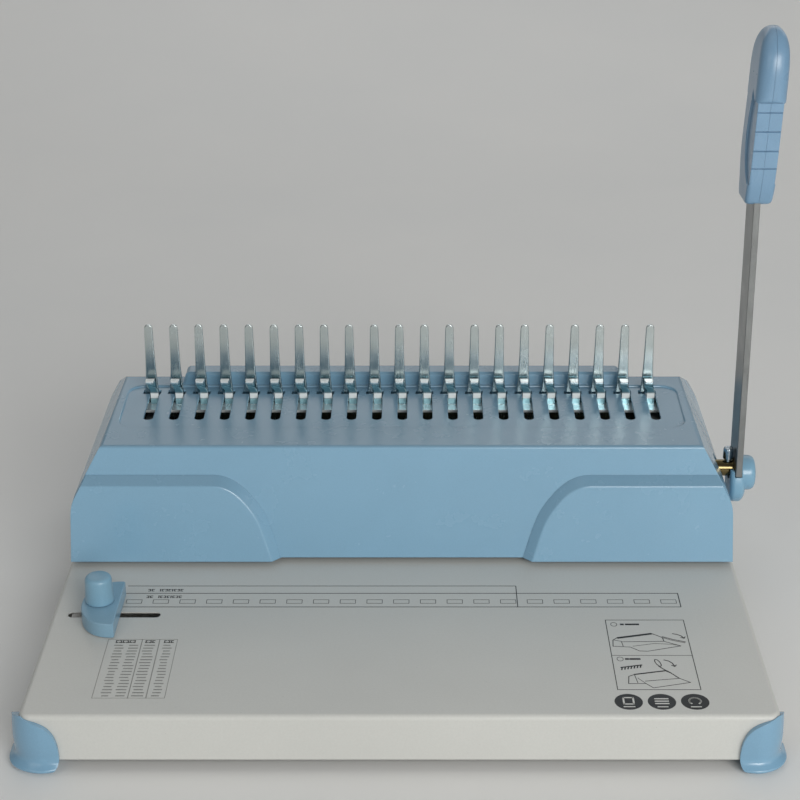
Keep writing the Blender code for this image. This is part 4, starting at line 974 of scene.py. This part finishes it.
def sheet_path(points, thick, radius, n=6):
    """Outline of a bent sheet in (y, z): a centre line thickened by thick, its bends rounded."""
    pts = [Vector(p) for p in points]
    out = [tuple(pts[0])]
    for i in range(1, len(pts) - 1):
        a, b = (pts[i - 1] - pts[i]).normalized(), (pts[i + 1] - pts[i]).normalized()
        half = math.acos(max(-1, min(1, a.dot(b)))) / 2
        t = min(radius / math.tan(half), (pts[i - 1] - pts[i]).length * 0.49, (pts[i + 1] - pts[i]).length * 0.49)
        r = t * math.tan(half)
        c = pts[i] + (a + b).normalized() * (r / math.sin(half))
        v0, v1 = pts[i] + a * t - c, pts[i] + b * t - c
        a0 = math.atan2(v0.y, v0.x)
        d = (math.atan2(v1.y, v1.x) - a0 + math.pi) % (2 * math.pi) - math.pi
        out += [(c.x + r * math.cos(a0 + d * k / n), c.y + r * math.sin(a0 + d * k / n)) for k in range(n + 1)]
    out.append(tuple(pts[-1]))
    left, right = [], []
    for i, p in enumerate(out):
        q0, q1 = Vector(out[max(i - 1, 0)]), Vector(out[min(i + 1, len(out) - 1)])
        d = (q1 - q0).normalized()
        nrm = Vector((-d.y, d.x)) * thick / 2
        left.append(tuple(Vector(p) + nrm))
        right.append(tuple(Vector(p) - nrm))
    return left + list(reversed(right))


# each hook: a jogged post out of the sheet, its top bent to the front
bm = bmesh.new()
hook = sheet_path([(224.2, 63.2), (224.2, 79.6), (218.4, 79.7)], 1.6, 1.5, 7)
half = len(hook) // 2
for i in range(TEETH):
    x = tooth_x(i)

    def span(y, z):
        """Left and right side of the post at a height."""
        k = min(max((z - 72.8) / 2.6, 0.0), 1.0)
        k = k * k * (3 - 2 * k)
        w = 2.2 + 0.2 * k
        if z > 77 and y < 223:
            w = 2.4 - 0.35 * min(max((221.0 - y) / 2.6, 0.0), 1.0) ** 2
        return x + DX * (1 - k) - w, x + DX * (1 - k) + w

    loop = []
    # more stations along the straight post so that the jog is smooth
    pts = []
    for a, b in zip(hook, hook[1:] + hook[:1]):
        n = max(1, int(math.hypot(b[0] - a[0], b[1] - a[1]) / 0.9))
        pts += [(a[0] + (b[0] - a[0]) * k / n, a[1] + (b[1] - a[1]) * k / n) for k in range(n)]
    L = [bm.verts.new((span(y, z)[0], y, z)) for y, z in pts]
    Rr = [bm.verts.new((span(y, z)[1], y, z)) for y, z in pts]
    n = len(pts)
    for k in range(n):
        j = (k + 1) % n
        bm.faces.new((L[k], L[j], Rr[j], Rr[k]))
    bm.faces.new(list(reversed(L)))
    bm.faces.new(Rr)
bmesh.ops.recalc_face_normals(bm, faces=bm.faces)
if bm.calc_volume(signed=True) < 0:
    bmesh.ops.reverse_faces(bm, faces=bm.faces)
cut(slide, solid("hooks", bm), op='UNION')
finish_mesh(slide, 40, 0.22, 2, True, 55)
show(slide, "slide", "ring_opener", "opener_slide")

# ---------------------------------------------------------------- lever bar
BAR_LO, BAR_HI = mm("lever_bar")
LX0, LX1 = BAR_LO.x, BAR_HI.x                    # 187.4..191


def lev(u, v):
    return (AXIS_Y + v, AXIS_Z + u)


bar = prism("bar", rounded([lev(-9.6, -8.3), lev(-1.6, -8.3), lev(-1.6, -11), lev(234, -11), lev(234, 11), lev(-1.6, 11),
                            lev(-1.6, 8.3), lev(-9.6, 8.3)], [2.8, 0.6, 0.5, 4.0, 4.0, 0.5, 0.6, 2.8], 6), LX0, LX1, 'X', TILT)
cut(bar, prism("eye", circle(AXIS_Y, AXIS_Z, 6.3, 48), LX0 - 2, LX1 + 2, 'X', TILT))
finish_mesh(bar, 40, 0.35, 3, True, 50)
show(bar, "lever", "lever", "lever_bar")

# ---------------------------------------------------------------- hub and cap


def capsule(p, rp, q, rq, n=24):
    px, py = p
    qx, qy = q
    base = math.atan2(qy - py, qx - px)
    off = math.acos((rp - rq) / math.hypot(qx - px, qy - py))
    return ([(px + rp * math.cos(base + off + (2 * math.pi - 2 * off) * i / n),
              py + rp * math.sin(base + off + (2 * math.pi - 2 * off) * i / n)) for i in range(n + 1)]
            + [(qx + rq * math.cos(base - off + 2 * off * i / n), qy + rq * math.sin(base - off + 2 * off * i / n))
               for i in range(n + 1)])


HUB_LO, HUB_HI = mm("lever_hub")
DROP = 2.9                                       # hub and cap sit this far below the axis
cap_line = capsule((AXIS_Y, AXIS_Z - DROP), 10.6, (AXIS_Y, AXIS_Z - 7.8), 12.0)
rings = []
for x, d in ((HUB_LO.x, 3.0), (HUB_LO.x + 0.25, 2.0), (HUB_LO.x + 0.8, 1.05), (HUB_LO.x + 1.6, 0.35), (HUB_LO.x + 2.6, 0.0),
             (HUB_HI.x - 3.0, 0.0), (HUB_HI.x - 2.0, 0.45), (HUB_HI.x - 1.1, 1.3), (HUB_HI.x - 0.4, 2.4), (HUB_HI.x, 3.6)):
    rings.append([(x, y, z) for y, z in (shrink(cap_line, d) if d else cap_line)])
hub = rings_solid("hub", rings, TILT)
cut(hub, box("slot", (LX0 - 0.3, AXIS_Y - 14, AXIS_Z - 1.9), (LX1 + 0.3, AXIS_Y + 14, AXIS_Z + 40), TILT, 0.0),
    box("slot_foot", (LX0 - 0.3, AXIS_Y - 8.6, AXIS_Z - 9.9), (LX1 + 0.3, AXIS_Y + 8.6, AXIS_Z), TILT, 0.0),
    box("low_cheek", (HUB_LO.x - 3, AXIS_Y - 14, AXIS_Z + 1.4), (LX0 + 0.7, AXIS_Y + 14, AXIS_Z + 40), TILT, 0.0),
    prism("eye", circle(AXIS_Y, AXIS_Z, 6.3, 48), HUB_LO.x - 2, HUB_HI.x + 2, 'X', TILT))
finish_mesh(hub, 32, 0.45, 3, True, 50)
show(hub, "hub", "lever", "lever_hub")

CAP_LO, CAP_HI = mm("pivot_cap")
cap = lathe("cap", [(0.0, 6.1), (3.4, 6.08), (6.0, 5.95), (7.6, 5.6), (8.7, 5.0), (9.4, 4.1), (9.75, 3.1), (9.9, 2.0),
                    (9.9, -1.9), (9.7, -2.0), (6.6, -2.0), (6.6, -0.4), (0.0, -0.4)],
            (HUB_HI.x, AXIS_Y - DROP * math.sin(LEAN), AXIS_Z - DROP * math.cos(LEAN)), (1, 0, 0), 64)
finish_mesh(cap, 40)
show(cap, "hub", "lever", "pivot_cap")

# shaft, stepped down outside the cover, and the screw that clamps the lever to it
SH_LO, SH_HI = mm("main_shaft")
shaft = lathe("shaft", [(0.0, 0.0), (5.6, 0.0), (6.0, 0.4), (6.0, 349.0), (4.7, 349.6), (4.7, 360.6), (6.0, 360.9),
                        (6.0, SH_HI.x - SH_LO.x - 0.4), (5.6, SH_HI.x - SH_LO.x), (0.0, SH_HI.x - SH_LO.x)],
              (SH_LO.x, AXIS_Y, AXIS_Z), (1, 0, 0), 56)
finish_mesh(shaft, 40)
show(shaft, "yellow", "lever", "main_shaft")
screw = lathe("screw", [(0.0, 12.8), (1.9, 12.75), (2.5, 12.5), (2.8, 12.0), (2.9, 11.3), (2.9, 6.2), (2.7, 5.9), (1.8, 5.8),
                        (1.8, 3.0), (0.0, 3.0)], (184.3, AXIS_Y, AXIS_Z), (0, 0, 1), 40)
cut(screw, box("drive", (180, AXIS_Y - 0.35, AXIS_Z + 11.7), (190, AXIS_Y + 0.35, AXIS_Z + 14)))
finish_mesh(screw, 40, 0.12, 2, True, 50)
show(screw, "screw", "lever")

# ---------------------------------------------------------------- grip: two moulded shells round the bar
GC, GW = 189.8, 8.0                              # the grip's middle at its foot and its half-width


def middle(u):
    return GC + 0.046 * (u - 160.0)


def lerp(table, u):
    if u <= table[0][0]:
        return table[0][1:]
    for a, b in zip(table, table[1:]):
        if u <= b[0]:
            t = (u - a[0]) / (b[0] - a[0])
            return tuple(p + (q - p) * t for p, q in zip(a[1:], b[1:]))
    return table[-1][1:]


# u, front, back, half width, front corner radius, rear corner radius
def smooth_table(rows, n=6):
    out = []
    m = len(rows)
    for i in range(m - 1):
        p0, p1, p2, p3 = rows[max(i - 1, 0)], rows[i], rows[i + 1], rows[min(i + 2, m - 1)]
        for k in range(n):
            t = k / n
            out.append(tuple(0.5 * ((2 * p1[a]) + (-p0[a] + p2[a]) * t + (2 * p0[a] - 5 * p1[a] + 4 * p2[a] - p3[a]) * t * t
                                    + (-p0[a] + 3 * p1[a] - 3 * p2[a] + p3[a]) * t ** 3) for a in range(len(p1))))
    out.append(tuple(rows[-1]))
    return out


W = GW
low_rows = [
    (156.4, -10.2, 9.2, W - 2.3, 2.0, 2.6),
    (156.9, -11.4, 10.4, W - 1.3, 2.4, 3.2),
    (158.4, -12.6, 11.9, W - 0.7, 2.6, 4.0),
    (162.2, -14.0, 13.6, W - 0.5, 2.6, 5.0),
    (166.2, -15.0, 14.8, W - 0.45, 2.4, 5.6),
    (170.4, -15.6, 15.9, W - 0.3, 2.2, 6.0),
    (178.4, -16.0, 17.6, W - 0.1, 2.0, 6.4),
    (187.7, -16.1, 17.9, W, 2.0, 6.6),
    (199.8, -16.0, 17.2, W, 2.0, 6.6),
    (211.5, -15.8, 16.6, W, 2.0, 6.6),
]
head_rows = [
    (212.0, -17.0, 16.6, W + 0.05, 4.0, 6.6),
    (212.6, -17.9, 16.6, W + 0.15, 5.5, 6.7),
    (214.2, -18.4, 16.6, W + 0.2, 6.4, 6.8),
    (219.0, -18.7, 16.7, W + 0.2, 6.9, 7.0),
    (226.0, -18.6, 16.9, W + 0.15, 7.1, 7.0),
    (232.1, -18.0, 16.8, W + 0.0, 7.2, 7.1),
    (237.3, -16.6, 15.9, W - 0.35, 7.1, 7.0),
    (241.7, -14.3, 14.0, W - 1.1, 6.7, 6.6),
    (245.2, -11.2, 11.2, W - 2.4, 5.5, 5.5),
    (247.4, -7.8, 7.9, W - 4.0, 3.9, 3.9),
    (248.7, -4.2, 4.4, W - 5.6, 2.3, 2.3),
    (249.1, -1.2, 1.4, W - 7.2, 0.75, 0.75),
]
rings = []
for u, f, b, w, rf, rb in smooth_table(low_rows, 4)[:-1] + [low_rows[-1]] + smooth_table(head_rows, 6):
    w = min(w, W + 0.2)
    rf, rb = min(rf, w - 0.02), min(rb, w - 0.02)
    sec = rounded([(-w, f), (w, f), (w, b), (-w, b)], [rf, rf, rb, rb], 8)
    rings.append([(middle(u) + x,) + lev(u, v) for x, v in sec])
grip = rings_solid("grip", rings, TILT)

# grooves across the front of the finger slab
for u in (206.6, 196.6, 186.3, 176.9):
    g = [lev(u + 0.55, -17.5), lev(u + 0.30, -15.9), lev(u - 0.05, -15.05), lev(u - 0.45, -15.9), lev(u - 0.9, -17.5)]
    cut(grip, prism("groove", g, GC - 12, GC + 15, 'X', TILT))
# the slab's sides are set back from the rim, inside a crescent edge
cres = [(217.3, -5.6), (214.7, -4.6), (209.9, -2.4), (203.7, -0.3), (196.9, 1.3), (189.8, 1.7), (183.0, 0.6), (177.5, -2.0),
        (172.5, -5.6), (169.0, -9.6), (167.4, -13.0), (166.9, -19.5)]
cres = curve_pts(cres, 5)
region = cres + [(211.8, -19.5), (212.0, -15.0), (212.9, -11.0), (215.2, -7.6)]
for sx in (-1, 1):
    flat = [lev(u, v) for u, v in region]
    flat = list(reversed(flat)) if area(flat) < 0 else flat
    rings = []
    for g, d in ((0.0, 4.0), (0.0, -0.25), (0.35, -0.9), (0.9, -1.25)):
        rings.append([(middle(z - AXIS_Z) + sx * (W + d), y, z) for y, z in (shrink(flat, g) if g else flat)])
    cut(grip, rings_solid("crescent", rings, TILT))
# a pocket inside the grip that takes the bar
cut(grip, box("pocket", (LX0 - 0.3, AXIS_Y - 11.6, AXIS_Z + 140), (LX1 + 0.3, AXIS_Y + 11.6, AXIS_Z + 234.4), TILT))
inner = grip
outer = bpy.data.objects.new("grip_outer", grip.data.copy())
bpy.context.scene.collection.objects.link(outer)
for ob, g, far in ((inner, -0.035, 60), (outer, 0.035, -60)):
    xa, xb = sorted((g, far))
    rings = []
    for u in (120.0, 270.0):
        rings.append([(middle(u) + x,) + lev(u, v) for x, v in ((xa, -60), (xb, -60), (xb, 60), (xa, 60))])
    cut(ob, rings_solid("half", rings, TILT))
    finish_mesh(ob, 34, 0.22, 3, True, 50)
show(inner, "grip", "lever", "grip_shell_inner")
show(outer, "grip", "lever", "grip_shell_outer")

# ---------------------------------------------------------------- paper guide and clamp knob
EG_LO, EG_HI = mm("edge_guide")
d_line = [(-148.0, 115.4), (-148.0, 100.0), (-148.0, 86.0), (-148.0, 71.6), (-148.5, 71.05)]
d_line += [(-148.0 - 19.7 * math.sin(math.pi * k / 40) ** 0.8, 93.5 - 22.5 * math.cos(math.pi * k / 40)) for k in range(1, 40)]
d_line += [(-148.5, 115.95)]
if area(d_line) < 0:
    d_line.reverse()
rings = []
for g, z in ((0.4, EG_LO.z), (0.0, EG_LO.z + 0.4), (0.0, EG_HI.z - 0.55), (0.15, EG_HI.z - 0.25), (0.45, EG_HI.z)):
    rings.append([(-148.0 + (x + 148.0) * (1 - g / 10.0) - g, 93.5 + (y - 93.5) * (1 - g / 22.5), z) for x, y in d_line])
guide = rings_solid("guide", rings)
cut(guide, prism("stem", circle(GUIDE_X, GUIDE_Y, 2.2, 32), -5, 20, 'Z'))
finish_mesh(guide, 36, 0.25, 2, True, 50)
show(guide, "guide", "side_guide", "edge_guide")

Z0 = EG_HI.z + 0.3
knob = lathe("knob", [(0.0, 14.9), (2.5, 14.88), (4.9, 14.76), (5.9, 14.5), (6.5, 14.0), (6.85, 13.3), (7.02, 12.4), (7.3, 6.0),
                      (7.55, 1.2), (7.55, 0.5), (7.25, 0.0), (1.7, 0.0), (1.7, -15.2), (1.4, -15.5), (0.0, -15.5)],
             (GUIDE_X, GUIDE_Y, Z0), (0, 0, 1), 64)
finish_mesh(knob, 40)
show(knob, "knob", "clamp_knob", "guide_knob")


# ---------------------------------------------------------------- CAD pieces that keep their shape
LOOKS = {"zinc": ["side_frame_left", "side_frame_right", "cross_frame", "slide_rail_left", "slide_rail_right", "tray_runner",
                  "opener_arm_left", "opener_arm_right"],
         "tool": ["die_plate", "guide_plate", "paper_stop", "punch_bar", "pin_retainer", "punch_cam_left", "punch_cam_right",
                  "drive_dog_left", "drive_dog_right"],
         "pin": ["punch_pin_%02d" % (i + 1) for i in range(TEETH)],
         "bush": ["shaft_bush_left", "shaft_bush_right"],
         "tray": ["chip_tray", "guide_nut"]}
for look, names in LOOKS.items():
    for nm in names:
        ob = NODES[nm]
        ob.data.materials.clear()
        ob.data.materials.append(M[look])
        w = ob.modifiers.new("weld", 'WELD')
        w.merge_threshold = 0.00001
        b = ob.modifiers.new("soft_edges", 'BEVEL')
        b.width = (0.4 if look in ("zinc", "tray", "bush") else 0.25) * MM
        b.segments = 2
        b.limit_method = 'ANGLE'
        b.angle_limit = math.radians(50)
        for p in ob.data.polygons:
            p.use_smooth = True
        ob.data.set_sharp_from_angle(angle=math.radians(35))


# return springs: round wire, close-wound ends, ground flat
def spring(name, node, r, wire, turns):
    lo, hi = mm(node)
    cx, cy = (lo.x + hi.x) / 2, (lo.y + hi.y) / 2
    h0, h1 = lo.z + wire / 2, hi.z - wire / 2
    bm = bmesh.new()
    n = int(turns * 28)
    rings = []
    end = wire * 1.1 * 0.75

    def at(t):
        w = t * turns
        z = h0 + wire * 1.1 * min(w, 0.75) + wire * 1.1 * max(w - (turns - 0.75), 0.0)
        z += (h1 - h0 - 2 * end) * min(max((w - 0.75) / (turns - 1.5), 0.0), 1.0)
        a = 2 * math.pi * w
        return Vector((cx + r * math.cos(a), cy + r * math.sin(a), min(z, h1)))

    for k in range(n + 1):
        t = k / n
        p = at(t)
        d = (at(min(t + 1e-3, 1)) - at(max(t - 1e-3, 0))).normalized()
        side = Vector((p.x - cx, p.y - cy, 0)).normalized()
        up = d.cross(side).normalized()
        rings.append([tuple(p + side * (wire / 2 * math.cos(2 * math.pi * i / 14)) + up * (wire / 2 * math.sin(2 * math.pi * i / 14)))
                      for i in range(14)])
    ob = rings_solid(name, rings)
    finish_mesh(ob, 50, 0, 0, False)
    ob.data.materials.clear()
    ob.data.materials.append(M["spring"])
    up = ORIGIN + Vector((cx, cy, 0.0)) * MM
    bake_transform(ob)
    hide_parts(node)
    return ob


spring("coil_left", "return_spring_left", 4.2, 1.2, 4.5)
spring("coil_right", "return_spring_right", 4.2, 1.2, 4.5)


# ---------------------------------------------------------------- floor, light, camera
floor_z = cad_lo.z
bm = bmesh.new()
n = 24
prof = [(-3.0, 0.0), (0.8, 0.0)] + [(0.8 + 1.6 * math.sin(math.pi / 2 * k / n), 1.6 - 1.6 * math.cos(math.pi / 2 * k / n)) for k in range(1, n + 1)] + [(2.4, 4.5)]
rows = [[bm.verts.new((x, y, floor_z - 0.0002 + z)) for x in (-6.0, 6.0)] for y, z in prof]
for a, b in zip(rows, rows[1:]):
    bm.faces.new((a[0], a[1], b[1], b[0]))
bmesh.ops.recalc_face_normals(bm, faces=bm.faces)
me = bpy.data.meshes.new("floor")
bm.to_mesh(me)
bm.free()
floor = bpy.data.objects.new("floor", me)
bpy.context.scene.collection.objects.link(floor)
me.shade_smooth()
n = Nodes("look_floor")
c = n.mix(n.ramp(n.noise(3.0, 3), 0.3, 0.7, 0.0, 1.0), rgb(226, 227, 226), rgb(231, 231, 229))
n.set(n.b, Base_Color=c, Roughness=0.62)
floor.data.materials.append(n.m)


def panel_light(name, at, to, size, power, colour=(1, 1, 1), spread=180):
    li = bpy.data.lights.new(name, 'AREA')
    li.shape = 'RECTANGLE'
    li.size, li.size_y = size
    li.energy = power
    li.color = colour
    li.spread = math.radians(spread)
    ob = bpy.data.objects.new(name, li)
    bpy.context.scene.collection.objects.link(ob)
    ob.location = at
    ob.rotation_euler = (Vector(to) - Vector(at)).to_track_quat('-Z', 'Y').to_euler()
    return ob


panel_light("key", (0.70, -1.75, 0.88), (0.0, 0.0, 0.06), (1.2, 0.8), 24, (1.0, 0.985, 0.955))
panel_light("left_fill", (-1.0, -1.3, 1.0), (0.0, 0.0, 0.1), (1.0, 1.0), 3.0, (1.0, 0.99, 0.97))
panel_light("fill", (1.6, -1.2, 0.7), (0.0, 0.0, 0.1), (1.0, 1.0), 4.0, (0.97, 0.985, 1.0))
panel_light("top", (-0.2, 0.25, 1.8), (0.0, 0.0, 0.05), (1.8, 1.2), 2.8, (1.0, 1.0, 0.99))
panel_light("back", (0.3, 1.3, 0.9), (0.0, 0.05, 0.15), (2.2, 0.8), 4.0, (1.0, 1.0, 1.0))

world = bpy.data.worlds.new("studio")
bpy.context.scene.world = world
world.use_nodes = True
bg = world.node_tree.nodes["Background"]
bg.inputs["Color"].default_value = (0.88, 0.89, 0.90, 1)
bg.inputs["Strength"].default_value = 0.22

cam = bpy.data.cameras.new("camera")
cam.sensor_width = 36.0
cam.lens = 83.21
cam.shift_x = -0.0233
cam.clip_start, cam.clip_end = 0.05, 50
eye = bpy.data.objects.new("camera", cam)
bpy.context.scene.collection.objects.link(eye)
eye.location = ORIGIN + Vector((9.26, -750.1, 501.55)) * MM
eye.rotation_euler = (math.radians(90 - 24.06), 0, 0)
bpy.context.scene.camera = eye
bpy.context.scene.view_settings.view_transform = 'Standard'
bpy.context.scene.view_settings.look = 'None'
